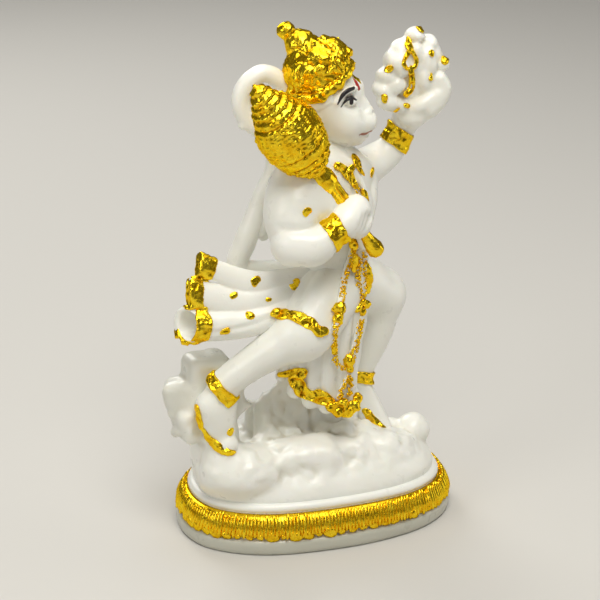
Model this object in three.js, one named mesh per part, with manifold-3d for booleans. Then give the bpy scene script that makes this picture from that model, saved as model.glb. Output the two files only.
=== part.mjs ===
// A small cast idol: a monkey-faced deity striding over rocks with a mace on the shoulder and a
// mountain raised on the far hand, moulded in one piece with its oblong plinth.
// Units are millimetres, +Z is up, the plinth's underside lies on Z = 0 and its middle is the origin.
// +X is the way the figure strides and -Y is the side that faces a visitor.

import * as THREE from "three";
import { mergeVertices } from "three/addons/utils/BufferGeometryUtils.js";
import Module from "manifold-3d";

// Plinth sizes
const plinthLength = 72;
const plinthWidth = 46;
const plinthSquareness = 2.35;
const rimHeight = 4;
const bandHeight = 6;
const bandBulge = 0.7;
const bandLean = 2.2;
const bandDrop = 1.6;
const lipHeight = 2.6;
const lipSetback = 3.2;
const plinthTop = rimHeight + bandHeight + lipHeight;

// Mound of rock on the plinth
const moundHeight = 11;
const moundFoot = 4.6;

// The figure's own height, from the plinth's top to the knob of the crown.
// Its pose was drawn 117 mm tall, so each length below is a share of that height.
const figureHeight = 117;
const drawnHeight = 117;
const share = figureHeight / drawnHeight;

// How finely round forms are faceted
const around = 8;
const ballRows = 5;

const wasm = await Module();
wasm.setup();

// A point of the pose, in drawn millimetres above the plinth's top
function at(x, y, z) {
  return new THREE.Vector3(x, y, z).multiplyScalar(share).add(new THREE.Vector3(0, 0, plinthTop));
}

function solidOf(geometry) {
  const bare = geometry.clone();
  bare.deleteAttribute("normal");
  bare.deleteAttribute("uv");
  const merged = mergeVertices(bare, 1e-4);
  return new wasm.Manifold(
    new wasm.Mesh({
      numProp: 3,
      vertProperties: merged.attributes.position.array,
      triVerts: new Uint32Array(merged.index.array),
    }),
  );
}

function join(solids) {
  return solids.reduce((sum, solid) => sum.add(solid));
}

// Moves every vertex of a geometry by a rule that takes and returns a point
function reshape(geometry, rule) {
  const places = geometry.attributes.position;
  const point = new THREE.Vector3();
  for (let i = 0; i < places.count; i++) {
    point.fromBufferAttribute(places, i);
    const moved = rule(point);
    places.setXYZ(i, moved.x, moved.y, moved.z);
  }
  return geometry;
}

// A number between -1 and 1 that wanders smoothly over space, for weathered rock
function wander(point, spacing) {
  const x = point.x / spacing;
  const y = point.y / spacing;
  const z = point.z / spacing;
  const broad = Math.sin(x + 1.7 * Math.sin(y + 0.6)) * Math.cos(z + 1.3 * Math.sin(x - 0.4));
  const fine = Math.sin(2.3 * y + 1.1 * z + 0.9) * Math.cos(2.1 * x - 1.4 * z);
  return 0.65 * broad + 0.35 * fine;
}

function between(list, t) {
  const place = THREE.MathUtils.clamp(t, 0, 1) * (list.length - 1);
  const i = Math.min(Math.floor(place), list.length - 2);
  return THREE.MathUtils.lerp(list[i], list[i + 1], place - i);
}

// A rounded limb: a capsule bent along a curve through the given points.
// radii are its thicknesses from end to end, flat is the ratio of its depth to its width,
// and facing is the way its flat side looks.
function limb(points, radii, { flat = 1, facing = [0, -1, 0], rows = 6, sides = around } = {}) {
  const curve = new THREE.CatmullRomCurve3(points, false, "centripetal");
  const look = new THREE.Vector3(...facing);
  const capsule = new THREE.CapsuleGeometry(1, 1, 2, sides, rows);
  return solidOf(
    reshape(capsule, (p) => {
      const t = THREE.MathUtils.clamp(p.y + 0.5, 0, 1);
      const beyond = p.y + 0.5 - t;
      const radius = between(radii, t) * share;
      const along = curve.getTangent(t);
      const depth = look.clone().addScaledVector(along, -look.dot(along)).normalize();
      const across = new THREE.Vector3().crossVectors(along, depth);
      return curve
        .getPoint(t)
        .addScaledVector(along, beyond * radius * Math.min(1, flat + 0.25))
        .addScaledVector(across, -p.x * radius)
        .addScaledVector(depth, -p.z * radius * flat);
    }),
  );
}

// A ball squeezed to three half-sizes and turned about Z, then tilted nose-up
function lobe(centre, sizes, { turn = 0, tilt = 0, sides = around, rows = ballRows } = {}) {
  const ball = new THREE.SphereGeometry(1, sides, rows);
  ball.rotateX(Math.PI / 2);
  ball.scale(sizes[0] * share, sizes[1] * share, sizes[2] * share);
  ball.rotateY(-THREE.MathUtils.degToRad(tilt));
  ball.rotateZ(THREE.MathUtils.degToRad(turn));
  ball.translate(centre.x, centre.y, centre.z);
  return solidOf(ball);
}

// A boulder: a squeezed ball whose skin wanders in and out
function boulder(centre, sizes, roughness, spacing, rows = 6) {
  const ball = new THREE.SphereGeometry(1, rows + 2, rows);
  ball.rotateX(Math.PI / 2);
  return solidOf(
    reshape(ball, (p) => {
      const out = new THREE.Vector3(p.x * sizes[0], p.y * sizes[1], p.z * sizes[2]).multiplyScalar(share);
      const place = out.clone().add(centre);
      const swell = 1 + (roughness * share * wander(place, spacing * share)) / out.length();
      return out.multiplyScalar(swell).add(centre);
    }),
  );
}

// A turned form, such as a mace head, with its profile given as [radius, height] from foot to top
function turned(profile, foot, top, sides = 16) {
  const axis = top.clone().sub(foot);
  const length = axis.length();
  const outline = profile.map(([radius, height]) => new THREE.Vector2(radius * share, height * length));
  const lathe = new THREE.LatheGeometry(outline, sides);
  lathe.applyQuaternion(
    new THREE.Quaternion().setFromUnitVectors(new THREE.Vector3(0, 1, 0), axis.normalize()),
  );
  lathe.translate(foot.x, foot.y, foot.z);
  return solidOf(lathe);
}

// Cloth that hangs from a top line to a hem, with upright folds that deepen downwards
function cloth(topLine, hemLine, { folds, depth, thickness, facing, columns = 16, rows = 5 }) {
  const top = new THREE.CatmullRomCurve3(topLine);
  const hem = new THREE.CatmullRomCurve3(hemLine);
  const look = new THREE.Vector3(...facing).normalize();
  const slab = new THREE.BoxGeometry(1, 1, 1, columns, rows, 1);
  return solidOf(
    reshape(slab, (p) => {
      const u = p.x + 0.5;
      const down = 0.5 - p.y;
      const fold = Math.sin(2 * Math.PI * folds * u) * depth * share * down;
      const place = top.getPoint(u).lerp(hem.getPoint(u), down);
      return place.addScaledVector(look, fold + p.z * thickness * share);
    }),
  );
}

// The plinth's plan is a rounded oblong. A lathe profile in terms of the distance inside that plan
// is spun round and then spread out to it.
const planReach = Math.min(plinthLength, plinthWidth) / 2;

function onPlan(radius, angle) {
  const inside = planReach - radius;
  const power = 2 / plinthSquareness;
  const c = Math.cos(angle);
  const s = Math.sin(angle);
  const closing = radius / planReach;
  const halfLength = THREE.MathUtils.lerp(0, plinthLength / 2 - inside, Math.min(1, closing * 4));
  const halfWidth = THREE.MathUtils.lerp(0, plinthWidth / 2 - inside, Math.min(1, closing * 4));
  return new THREE.Vector2(
    Math.sign(c) * Math.abs(c) ** power * Math.max(0, halfLength),
    Math.sign(s) * Math.abs(s) ** power * Math.max(0, halfWidth),
  );
}

// The moulding above the rim sinks a little towards the far end, by a share of bandDrop
function dropAt(x) {
  return bandDrop * Math.max(0, x / (plinthLength / 2)) ** 2;
}

function plinth() {
  const bulge = planReach + bandBulge - bandLean / 2;
  const profile = [
    [0, 0],
    [planReach - 0.6, 0],
    [planReach, 0.6],
    [planReach, rimHeight],
    [bulge, rimHeight + 0.3 * bandHeight],
    [bulge - 0.2, rimHeight + 0.62 * bandHeight],
    [planReach - bandLean, rimHeight + bandHeight],
    [planReach - lipSetback, rimHeight + bandHeight + 0.3],
    [planReach - lipSetback, plinthTop - 0.9],
    [planReach - lipSetback - 0.9, plinthTop],
    [0, plinthTop],
  ];
  const lathe = new THREE.LatheGeometry(
    profile.map(([r, z]) => new THREE.Vector2(r, z)),
    36,
  );
  return solidOf(
    reshape(lathe, (p) => {
      const plan = onPlan(Math.hypot(p.x, p.z), Math.atan2(-p.z, p.x));
      const sink = THREE.MathUtils.smoothstep(p.y, rimHeight, rimHeight + bandHeight) * dropAt(plan.x);
      return new THREE.Vector3(plan.x, plan.y, p.y - sink);
    }),
  );
}

// The mound rises from inside the lip to a ridge near the visitor and sags behind it
function mound() {
  const foot = planReach - moundFoot;
  const steps = 7;
  const profile = [[0, plinthTop - 2]];
  for (let i = 0; i <= steps; i++) {
    const out = 1 - i / steps;
    profile.push([foot * out, plinthTop - 1 + (moundHeight + 1) * (1 - out ** 3) ** 0.7]);
  }
  profile.splice(1, 0, [foot, plinthTop - 2]);
  const lathe = new THREE.LatheGeometry(
    profile.map(([r, z]) => new THREE.Vector2(r, z)),
    24,
  );
  return solidOf(
    reshape(lathe, (p) => {
      const radius = Math.hypot(p.x, p.z);
      const plan = onPlan(radius, Math.atan2(-p.z, p.x));
      const place = new THREE.Vector3(plan.x, plan.y, p.y);
      if (p.y > plinthTop) {
        const rise = (p.y - plinthTop) / moundHeight;
        const sag = Math.exp(-(((plan.x + 4) / 13) ** 2) - ((plan.y + 1) / 4.5) ** 2);
        place.z += rise * (1.1 * wander(place, 3.1) - 3.6 * sag);
        place.x += rise * 0.7 * wander(place, 2.3);
      }
      return place;
    }),
  );
}

function rocks() {
  return join([
    // the stack behind the near foot and the pillar below its toes
    boulder(at(-29.2, -1, 30), [7, 5, 6.8], 0.9, 2.6),
    boulder(at(-33.2, -0.6, 26), [6, 4.4, 5], 0.8, 2.2),
    boulder(at(-30.6, -2, 19.4), [7, 5, 6.8], 0.9, 2.4),
    boulder(at(-21.4, -2, 22.6), [4, 4.2, 5.6], 0.6, 2.1),
    boulder(at(-27.4, -8, 8.6), [5, 6.4, 7.6], 0.9, 2.6),
    // the crag that carries the dhoti
    boulder(at(-4.4, 6, 13), [12.4, 6.4, 15], 1.6, 3.1, 9),
    boulder(at(6.6, 6.4, 16), [8.4, 5.8, 14.5], 1.5, 2.8, 8),
    // the ridge before it and the boulders at the far end
    boulder(at(-6, -8.6, 8.6), [15, 6.6, 5.4], 1, 2.4),
    boulder(at(15, -5.6, 6.6), [12, 8, 5.6], 1, 2.4),
    boulder(at(28, 5.6, 2.4), [5, 5, 5.4], 0.5, 2.6),
    boulder(at(22, 3.6, 4.6), [4, 4, 4.4], 0.5, 2, 6),
  ]);
}

function legs() {
  const visitor = [0.3, -0.95, 0];
  return join([
    // near leg, trailing, heel raised
    limb([at(4, -3, 51.4), at(-2, -9, 47.4), at(-7.5, -13, 43.4)], [8.4, 8, 7.2], { facing: visitor, rows: 4 }),
    limb(
      [at(-6.6, -12.8, 44), at(-13, -12.4, 39), at(-19.6, -10.6, 34.2), at(-25.4, -9, 29.6)],
      [7, 6.7, 5.2, 3.9],
      { facing: visitor, rows: 5 },
    ),
    limb([at(-25.6, -9, 28.8), at(-28, -9, 22.4), at(-26.8, -9.4, 14.6)], [4.3, 4.8, 2.9], {
      flat: 0.78,
      rows: 5,
    }),
    lobe(at(-30.2, -9, 25), [3, 3.4, 3.8], { tilt: 30, sides: 8, rows: 6 }),
    // far leg, bent, foot on the rocks
    limb([at(8, 4, 48.4), at(15, 6, 46), at(20.6, 8, 42.6)], [8.2, 7.4, 6.4], { facing: [0, 0, 1], rows: 4 }),
    limb([at(20.6, 8, 41.4), at(18.4, 7.4, 31.6), at(14.8, 5.6, 20)], [6.2, 5.2, 3], { rows: 5 }),
    limb([at(14.8, 5, 18.4), at(16.4, 3.6, 12), at(18.6, 1.4, 7.4)], [3.3, 3.9, 2.9], { flat: 0.8, rows: 4 }),
  ]);
}

function torso() {
  return join([
    limb([at(4, 0.4, 46), at(3.6, 0, 56), at(4, -0.4, 66), at(4.6, 0, 76.4)], [11.2, 9.4, 11.4, 10.8], {
      flat: 0.8,
      facing: [0.58, -0.81, 0],
      rows: 5,
      sides: 13,
    }),
    limb([at(5.4, 0, 79), at(5.2, 0, 84), at(4.2, 0, 92)], [6.4, 5.4, 5.6], { rows: 3 }),
  ]);
}

function arms() {
  const shoulder = at(-7.2, -8.6, 78.6);
  const elbow = at(-11.4, -15, 67.8);
  return join([
    limb([at(0, -3, 80), shoulder, at(-10.6, -12.6, 73.2), elbow], [7, 8.2, 7.2, 5.6], { rows: 6 }),
    limb([elbow, at(-6, -17.4, 67.2), at(0.4, -17.4, 70.4)], [5.7, 5.3, 3.5], { rows: 4 }),
    limb([at(0, -17.2, 70.6), at(3, -16.4, 72.6), at(5.6, -14.6, 74.6)], [3.6, 4.5, 3.9], { rows: 2 }),
    lobe(at(6.2, -14.2, 71.8), [3.8, 3.6, 5], { rows: 6 }),
    // far arm, raised under the mountain
    limb([at(9, 3, 77.4), at(13.4, 7, 77), at(21.4, 11, 75.4)], [6, 5.6, 4.9], { rows: 3 }),
    limb([at(21.2, 11, 75.4), at(23.4, 10.6, 79), at(26, 10, 84.4)], [4.9, 4.5, 3.6], { rows: 3 }),
  ]);
}

function head() {
  const turn = -18;
  return join([
    lobe(at(3, 0, 98), [8.6, 7.8, 9.2], { turn, sides: 11, rows: 7 }),
    lobe(at(8.6, -1.9, 93.2), [5.2, 5.2, 4.8], { turn, tilt: 6, rows: 7 }),
    lobe(at(6.2, -1.3, 89.6), [4.6, 4.8, 3.4], { turn, tilt: 12, rows: 6 }),
    lobe(at(12, -3.2, 95.2), [1.9, 2.4, 1.7], { turn, tilt: -25, sides: 8, rows: 5 }),
    // ears
    lobe(at(1.4, -7.8, 95.8), [2.2, 1.4, 3], { turn, sides: 8, rows: 5 }),
    lobe(at(5.8, 7.4, 95.8), [2.2, 1.4, 3], { turn, sides: 8, rows: 5 }),
  ]);
}

function crown() {
  const foot = at(2.6, 0, 99);
  const top = at(-6.6, 3.2, 117);
  const steps = [
    [0, 0],
    [9, 0.02],
    [9.4, 0.14],
    [9.1, 0.32],
    [7.8, 0.5],
    [5.4, 0.64],
    [4.4, 0.7],
    [4.5, 0.76],
    [2.4, 0.82],
    [2.7, 0.89],
    [2.4, 0.96],
    [0, 1],
  ];
  return join([
    turned(steps, foot, top, 12),
    lobe(at(3.6, -0.8, 107.2), [5.8, 6.6, 6.2], { turn: -18, tilt: 35, sides: 9, rows: 6 }),
  ]);
}

function mace() {
  const end = at(12.6, -12.2, 61.4);
  const tip = at(-20, -15.4, 108);
  const steps = [
    [0, 0],
    [2.7, 0.01],
    [2.9, 0.04],
    [1.9, 0.13],
    [1.9, 0.43],
    [2.8, 0.47],
    [2.1, 0.51],
    [4.4, 0.54],
    [6.8, 0.6],
    [7.9, 0.68],
    [7.9, 0.74],
    [6.6, 0.81],
    [4.4, 0.88],
    [2.9, 0.94],
    [1.6, 0.985],
    [0, 1],
  ];
  return turned(steps, end, tip, 12);
}

function mountain() {
  return join([
    boulder(at(27, 7, 104), [8, 6.4, 8], 0.8, 2),
    boulder(at(24, 6.6, 98), [6.2, 5.4, 5.6], 0.8, 1.9),
    boulder(at(31.2, 8, 99), [5.6, 5.4, 7.2], 0.7, 1.9),
    // palm and the fingers that close over the rock
    limb([at(26.6, 9.8, 86), at(28.4, 9.4, 89.6), at(30, 9, 92.4)], [3.8, 5.6, 6], { flat: 0.8, rows: 2 }),
    limb([at(22.8, 4, 94.8), at(26.6, 2.8, 94), at(31.2, 3.4, 95.6)], [2, 2.1, 1.8], { rows: 3, sides: 7 }),
    limb([at(33.6, 6.6, 91), at(35.2, 5.4, 94.6), at(34.8, 5, 98.4)], [2.4, 2.2, 1.8], { rows: 3, sides: 7 }),
  ]);
}

function tail() {
  const spine = [
    at(2, 5, 53),
    at(-9, 5.4, 52.4),
    at(-18.4, 4, 56),
    at(-16.4, 3, 64),
    at(-12.8, 3, 73),
    at(-9.6, 3, 82),
    at(-11.4, 3, 89),
    at(-16, 3, 93.4),
    at(-18, 3, 98.6),
    at(-16, 3, 103.4),
    at(-11.8, 3, 105.2),
    at(-7.8, 3, 102.8),
    at(-4.6, 3, 97.6),
  ];
  return limb(spine, [4.2, 3.4, 2.6, 2.4, 2.2, 2, 2, 2, 2, 2, 2, 2, 1.8], { rows: 20, sides: 6 });
}

function shawl() {
  const visitor = [0, -1, 0.3];
  const roll = { facing: visitor, flat: 0.85, rows: 4, sides: 8 };
  const folds = join([
    limb([at(1, -5, 55), at(-9.6, -7, 55.2), at(-19, -7, 56), at(-29, -6, 60)], [4, 3.6, 3.7, 3.9], roll),
    limb([at(1, -7, 53), at(-10, -8.4, 52.6), at(-20.4, -8, 51.6), at(-31.4, -7, 53.6)], [4, 3.8, 4, 4.1], roll),
    limb([at(0, -8, 50.8), at(-9, -9, 49.6), at(-19.4, -8.6, 46.8), at(-32, -8, 47)], [4, 3.8, 4.1, 5], roll),
    limb([at(-8, -4, 48.4), at(-18, -3, 46), at(-28.6, -3, 43.6)], [3, 3.2, 2.6], { flat: 0.6, rows: 4, sides: 8 }),
  ]);
  // the lowest fold is rolled up and open at its end
  const hollow = limb([at(-33, -8.4, 47.4), at(-42, -8.4, 47.6)], [3.3, 4], { rows: 1, sides: 8 });
  return folds.subtract(hollow);
}

function dhoti() {
  return join([
    lobe(at(4, 0.4, 48), [11.6, 9.2, 8.6], { turn: 30 }),
    // the hem that grips the near thigh just above the knee
    limb([at(-15.4, -12.4, 47.4), at(-10.6, -18.6, 45.6), at(-3.4, -19.4, 43), at(1.4, -15, 42)], [1.4, 1.6, 1.6, 1.4], {
      rows: 5,
      sides: 6,
    }),
    // the front fall between the legs
    cloth(
      [at(-6, -10, 45), at(0, -10.4, 47), at(6, -8, 50), at(12, 0, 48)],
      [at(-12.6, -7, 29.4), at(-8, -9, 25.4), at(-1, -9.6, 21.4), at(7, -6.4, 18), at(11, 1, 21)],
      { folds: 3, depth: 1.1, thickness: 3.2, facing: [0.2, -0.96, 0.1], columns: 12, rows: 3 },
    ),
    lobe(at(-0.6, -2.4, 34), [8.8, 6.4, 12.5], { turn: 20 }),
    lobe(at(6.4, 1, 31), [6, 5.2, 12], { turn: 20, sides: 10 }),
  ]);
}

function ornaments() {
  const strand = { rows: 5, sides: 4 };
  return join([
    // bracelets and anklets
    limb([at(-1.8, -17.6, 69.6), at(1.6, -17.2, 71.2)], [4.2, 4.2], { rows: 1, sides: 10 }),
    limb([at(24.4, 10.4, 80.8), at(25.6, 10.2, 83.8)], [4.2, 4.1], { rows: 1, sides: 10 }),
    limb([at(-23.4, -9.7, 31.4), at(-25.4, -9, 29.4)], [4.7, 4.6], { rows: 1, sides: 10 }),
    limb([at(15, 5.6, 20.6), at(14.8, 5.4, 18.8)], [3.6, 3.6], { rows: 1, sides: 10 }),
    // garland and its tassel
    limb([at(4.4, -11.6, 61), at(2.6, -13, 53), at(0.6, -13.6, 45), at(1.8, -12.6, 34), at(4.8, -11, 28)], [1.1, 1.1, 2.2, 1.1, 1.6], strand),
    limb([at(6.8, -10.6, 60), at(8.4, -10.2, 52), at(8, -10.8, 44), at(6.2, -10.8, 34), at(4.8, -11, 28)], [1.1, 1.6, 2, 1.1, 1.6], strand),
    lobe(at(4.4, -10, 21.4), [4.4, 2.6, 2.8], { turn: 15, sides: 8, rows: 5 }),
    // stole over the far shoulder
    limb([at(5.4, -6.4, 83.4), at(11, -0.6, 82.6), at(14.6, 2.2, 77.6), at(13, -3, 73.4), at(11.4, -7.6, 69)], [2.2, 2.8, 3, 2.6, 1.4], {
      flat: 0.7,
      facing: [0.6, -0.8, 0.2],
      rows: 7,
      sides: 8,
    }),
  ]);
}

const casting = join([
  plinth(),
  mound(),
  rocks(),
  legs(),
  torso(),
  arms(),
  head(),
  crown(),
  mace(),
  mountain(),
  tail(),
  shawl(),
  dhoti(),
  ornaments(),
]);

function meshOf(solid, name, look) {
  const skin = solid.getMesh();
  const geometry = new THREE.BufferGeometry();
  geometry.setAttribute("position", new THREE.BufferAttribute(skin.vertProperties, 3));
  geometry.setIndex(new THREE.BufferAttribute(skin.triVerts, 1));
  geometry.computeVertexNormals();
  const mesh = new THREE.Mesh(geometry, new THREE.MeshStandardMaterial(look));
  mesh.name = name;
  return mesh;
}

const group = new THREE.Group();
group.add(meshOf(casting, "hanuman_figure", { color: 0xf1eee6, roughness: 0.38, metalness: 0 }));

export default group;
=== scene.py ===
# %% [markdown]
# # A small cast idol in white resin and brushed gold
# A monkey-faced deity strides over rocks, a mace on the shoulder and a mountain raised on the far hand.
# The real thing is one casting, poured in a rubber mould, so its forms run softly into each other.
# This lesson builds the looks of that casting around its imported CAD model, which sets size and place.
# Everything is in metres for Blender, but the clay below is worked in millimetres.

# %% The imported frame
import math

import bpy
import numpy as np
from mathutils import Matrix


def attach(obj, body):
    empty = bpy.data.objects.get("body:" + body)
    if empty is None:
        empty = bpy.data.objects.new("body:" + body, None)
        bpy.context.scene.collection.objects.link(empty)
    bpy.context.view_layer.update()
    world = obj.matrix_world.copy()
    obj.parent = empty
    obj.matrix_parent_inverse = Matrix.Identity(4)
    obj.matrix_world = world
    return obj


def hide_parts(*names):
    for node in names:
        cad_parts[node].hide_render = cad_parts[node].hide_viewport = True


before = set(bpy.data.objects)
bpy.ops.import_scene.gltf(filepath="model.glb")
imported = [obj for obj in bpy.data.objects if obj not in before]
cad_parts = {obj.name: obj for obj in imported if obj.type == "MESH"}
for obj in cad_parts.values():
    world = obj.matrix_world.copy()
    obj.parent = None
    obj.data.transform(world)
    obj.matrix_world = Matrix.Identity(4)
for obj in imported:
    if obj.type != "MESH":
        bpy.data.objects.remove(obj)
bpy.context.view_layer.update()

import openvdb as vdb
from mathutils import Vector

# %% [markdown]
# ## The camera
# The photograph was taken from a little to the left of the figure and from above its head.
# The camera comes first, because it decides which details carry the likeness.
# A long lens keeps the plinth's ellipse as flat as it is in the photograph.
# The plain Standard view keeps gold as yellow as a phone camera shows it.

# %% The camera at the photograph's viewing angle
camera_data = bpy.data.cameras.new("camera")
camera_data.lens = 122.4
camera_data.sensor_width = 36.0
camera = bpy.data.objects.new("camera", camera_data)
camera.location = (-0.1498, -0.4497, 0.25025)
aim = Vector((-0.0037, 0.0, 0.0592))
camera.rotation_euler = (aim - camera.location).to_track_quat("-Z", "Y").to_euler()
bpy.context.scene.collection.objects.link(camera)
bpy.context.scene.camera = camera
bpy.context.scene.view_settings.view_transform = "Standard"
print("camera looks", round(90 - math.degrees(camera.rotation_euler.x), 1), "degrees down")

# %% [markdown]
# ## Clay
# A sculptor pushes lumps of clay together and smooths the joints with a thumb.
# A grid of distances does the same: each lump writes how far every grid point is from its skin,
# and two lumps are joined by a soft minimum, which rounds the corner between them.
# Bundled OpenVDB turns the grid into a closed mesh, so no form needs its own topology.
# Blender's metaballs could do a little of this, but they can't carve, press grooves or hold thin folds.

# %% The block of clay
MM = 0.001  # a millimetre in Blender's metres
FAR = 9.0  # stands for any distance that is too far to matter
MARGIN = 2.4  # how far round a lump its distances are worked out
PLINTH_TOP = 12.6  # the figure is drawn in millimetres above this height


class Clay:
    """A block of distances in millimetres, negative inside, on a lattice that all blocks share."""

    def __init__(self, low, high, grain):
        self.grain = grain
        self.start = np.floor(np.array(low) / grain).astype(int)
        self.counts = np.ceil(np.array(high) / grain).astype(int) - self.start + 1
        self.axes = [
            (grain * (self.start[i] + np.arange(self.counts[i]))).astype(np.float32) for i in range(3)
        ]
        self.field = np.full(self.counts, FAR, np.float32)

    def places(self, cut=(slice(None), slice(None), slice(None))):
        """Coordinates of the grid inside a cut, shaped so that together they fill it."""
        x, y, z = (self.axes[i][cut[i]] for i in range(3))
        return x[:, None, None], y[None, :, None], z[None, None, :]

    def window(self, low, high):
        """The cut between two corners, and the coordinates inside it."""
        cut = []
        for i in range(3):
            first = math.floor(low[i] / self.grain) - self.start[i]
            last = math.ceil(high[i] / self.grain) - self.start[i] + 1
            cut.append(slice(*np.clip([first, last], 0, self.counts[i])))
        return tuple(cut), *self.places(cut)

    def add(self, form, blend=0.0):
        cut, distance = form(self)
        self.field[cut] = melt(self.field[cut], distance, blend)

    def carve(self, form, blend=0.0):
        cut, distance = form(self)
        self.field[cut] = -melt(-self.field[cut], distance, blend)


def melt(a, b, blend):
    """The nearer of two distances, with the corner between them rounded over a width of blend."""
    if blend <= 0:
        return np.minimum(a, b)
    near = np.maximum(blend - np.abs(a - b), 0) / blend
    return np.minimum(a, b) - near * near * blend / 4


print("a centimetre of clay each way holds", Clay((0, 0, 0), (10, 10, 10), 0.5).field.size, "distances")

# %% [markdown]
# ## The lumps
# A few kinds of lump are enough for the whole figure: a ball squeezed to three sizes, a stone with
# flat faces, a limb that runs along a smooth curve through a few stations, a form turned about an
# axis, and a group of these.
# Each station of a limb is a point and a thickness, as on an armature wire wrapped in clay.

# %% Balls and stones
def turned_by(turn):
    """The cosine and the sine of an angle in degrees."""
    angle = math.radians(turn)
    return math.cos(angle), math.sin(angle)


def unit(vector):
    return np.array(vector, float) / np.linalg.norm(vector)


def own_places(clay, centre, turn, tilt, reach):
    """A window round a lump, and the places in it along the lump's own nose, side and top."""
    ct, st = turned_by(turn)
    cu, su = turned_by(tilt)
    cut, x, y, z = clay.window(np.array(centre) - reach, np.array(centre) + reach)
    dx, dy, dz = x - centre[0], y - centre[1], z - centre[2]
    ahead = ct * dx + st * dy
    return cut, (cu * ahead + su * dz, ct * dy - st * dx, cu * dz - su * ahead)


def ball(centre, sizes, turn=0.0, tilt=0.0):
    """A squeezed ball, tilted nose-up and then turned about Z."""

    def shape(clay):
        cut, places = own_places(clay, centre, turn, tilt, max(sizes) + MARGIN)
        share = np.sqrt(sum((p / s) ** 2 for p, s in zip(places, sizes))) + 1e-6
        slope = np.sqrt(sum((p / s**2) ** 2 for p, s in zip(places, sizes)))
        return cut, share * (share - 1) / (slope + 1e-6)

    return shape


def block(centre, sizes, turn=0.0, tilt=0.0, soft=1.0):
    """A stone with flat faces and soft edges, tilted nose-up and then turned about Z."""

    def shape(clay):
        cut, places = own_places(clay, centre, turn, tilt, math.hypot(*sizes) + MARGIN)
        over = [np.abs(p) - (s - soft) for p, s in zip(places, sizes)]
        outside = np.sqrt(sum(np.maximum(o, 0) ** 2 for o in over))
        inside = np.minimum(np.maximum(np.maximum(over[0], over[1]), over[2]), 0)
        return cut, (outside + inside - soft).astype(np.float32)

    return shape


# %% Limbs along a curve
def course(stations, step):
    """Points close together on a smooth curve through the stations."""
    points = np.array(stations, float)
    gaps = np.linalg.norm(np.diff(points[:, :3], axis=0), axis=1)
    knots = np.concatenate([[0], np.cumsum(np.sqrt(gaps))])
    slopes = np.gradient(points, knots, axis=0)
    along = [i + np.arange(n) / n for i, n in enumerate(np.ceil(gaps / step).astype(int) + 1)]
    along = np.append(np.concatenate(along), len(gaps))
    i = np.minimum(along.astype(int), len(gaps) - 1)
    t = (along - i)[:, None]
    span = (knots[i + 1] - knots[i])[:, None]
    ease = t * t * (3 - 2 * t)
    leave = t * (1 - t) ** 2 * span * slopes[i]
    arrive = t * t * (t - 1) * span * slopes[i + 1]
    return (1 - ease) * points[i] + ease * points[i + 1] + leave + arrive


def within(part, cut):
    """Where one cut lies inside a larger one."""
    return tuple(slice(p.start - c.start, p.stop - c.start) for p, c in zip(part, cut))


def limb(stations, flat=1.0, facing=(0.0, -1.0, 0.0), step=1.4, spare=MARGIN):
    """A rounded limb through stations (x, y, z, radius), flattened towards its facing side."""
    run = course(stations, step)
    look = unit(facing)

    def shape(clay):
        reach = run[:, 3].max() + spare
        cut, x, y, z = clay.window(run[:, :3].min(0) - reach, run[:, :3].max(0) + reach)
        whole = np.full((x.size, y.size, z.size), FAR, np.float32)
        for a, b in zip(run[:-1], run[1:]):
            reach = max(a[3], b[3]) + spare
            part, x, y, z = clay.window(
                np.minimum(a[:3], b[:3]) - reach, np.maximum(a[:3], b[:3]) + reach
            )
            inner = within(part, cut)
            if min(s.stop - s.start for s in part) < 1:
                continue
            step_vector = b[:3] - a[:3]
            length = np.linalg.norm(step_vector) + 1e-9
            d = step_vector / length
            depth = look - look.dot(d) * d
            depth = depth / (np.linalg.norm(depth) + 1e-9)
            dx, dy, dz = x - np.float32(a[0]), y - np.float32(a[1]), z - np.float32(a[2])
            along = np.clip(dx * d[0] + dy * d[1] + dz * d[2], 0, length)
            qx, qy, qz = dx - along * d[0], dy - along * d[1], dz - along * d[2]
            square = qx * qx + qy * qy + qz * qz
            if flat != 1:
                square += (qx * depth[0] + qy * depth[1] + qz * depth[2]) ** 2 * (1 / flat**2 - 1)
            distance = np.sqrt(square) - (a[3] + along * ((b[3] - a[3]) / length))
            whole[inner] = np.minimum(whole[inner], distance)
        return cut, whole

    return shape


# %% Turned forms and groups
def turned(profile, foot, top, ripple=None):
    """A form turned about the line from foot to top; its profile gives (radius, share of the height)."""
    foot, top = np.array(foot, float), np.array(top, float)
    length = np.linalg.norm(top - foot)
    d = (top - foot) / length
    radii, heights = np.array(profile, float).T
    aside = unit(np.cross(d, (0.0, 1.0, 0.0)))
    across = np.cross(d, aside)

    def shape(clay):
        reach = radii.max() + MARGIN
        cut, x, y, z = clay.window(np.minimum(foot, top) - reach, np.maximum(foot, top) + reach)
        dx, dy, dz = x - foot[0], y - foot[1], z - foot[2]
        height = (dx * d[0] + dy * d[1] + dz * d[2]) / length
        u = dx * aside[0] + dy * aside[1] + dz * aside[2]
        v = dx * across[0] + dy * across[1] + dz * across[2]
        radius = np.sqrt(u * u + v * v)
        profile_here = np.interp(height, heights, radii)
        if ripple is not None:
            profile_here = profile_here + ripple(height, np.arctan2(v, u))
        slope = np.interp(height, heights[1:], np.diff(radii) / (np.diff(heights) * length + 1e-6))
        beyond = np.maximum(np.maximum(-height, height - 1), 0) * length
        side = (radius - profile_here) / np.sqrt(1 + np.clip(slope, -3, 3) ** 2)
        return cut, np.where(beyond > 0, np.hypot(np.maximum(side, 0), beyond), side).astype(np.float32)

    return shape


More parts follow.
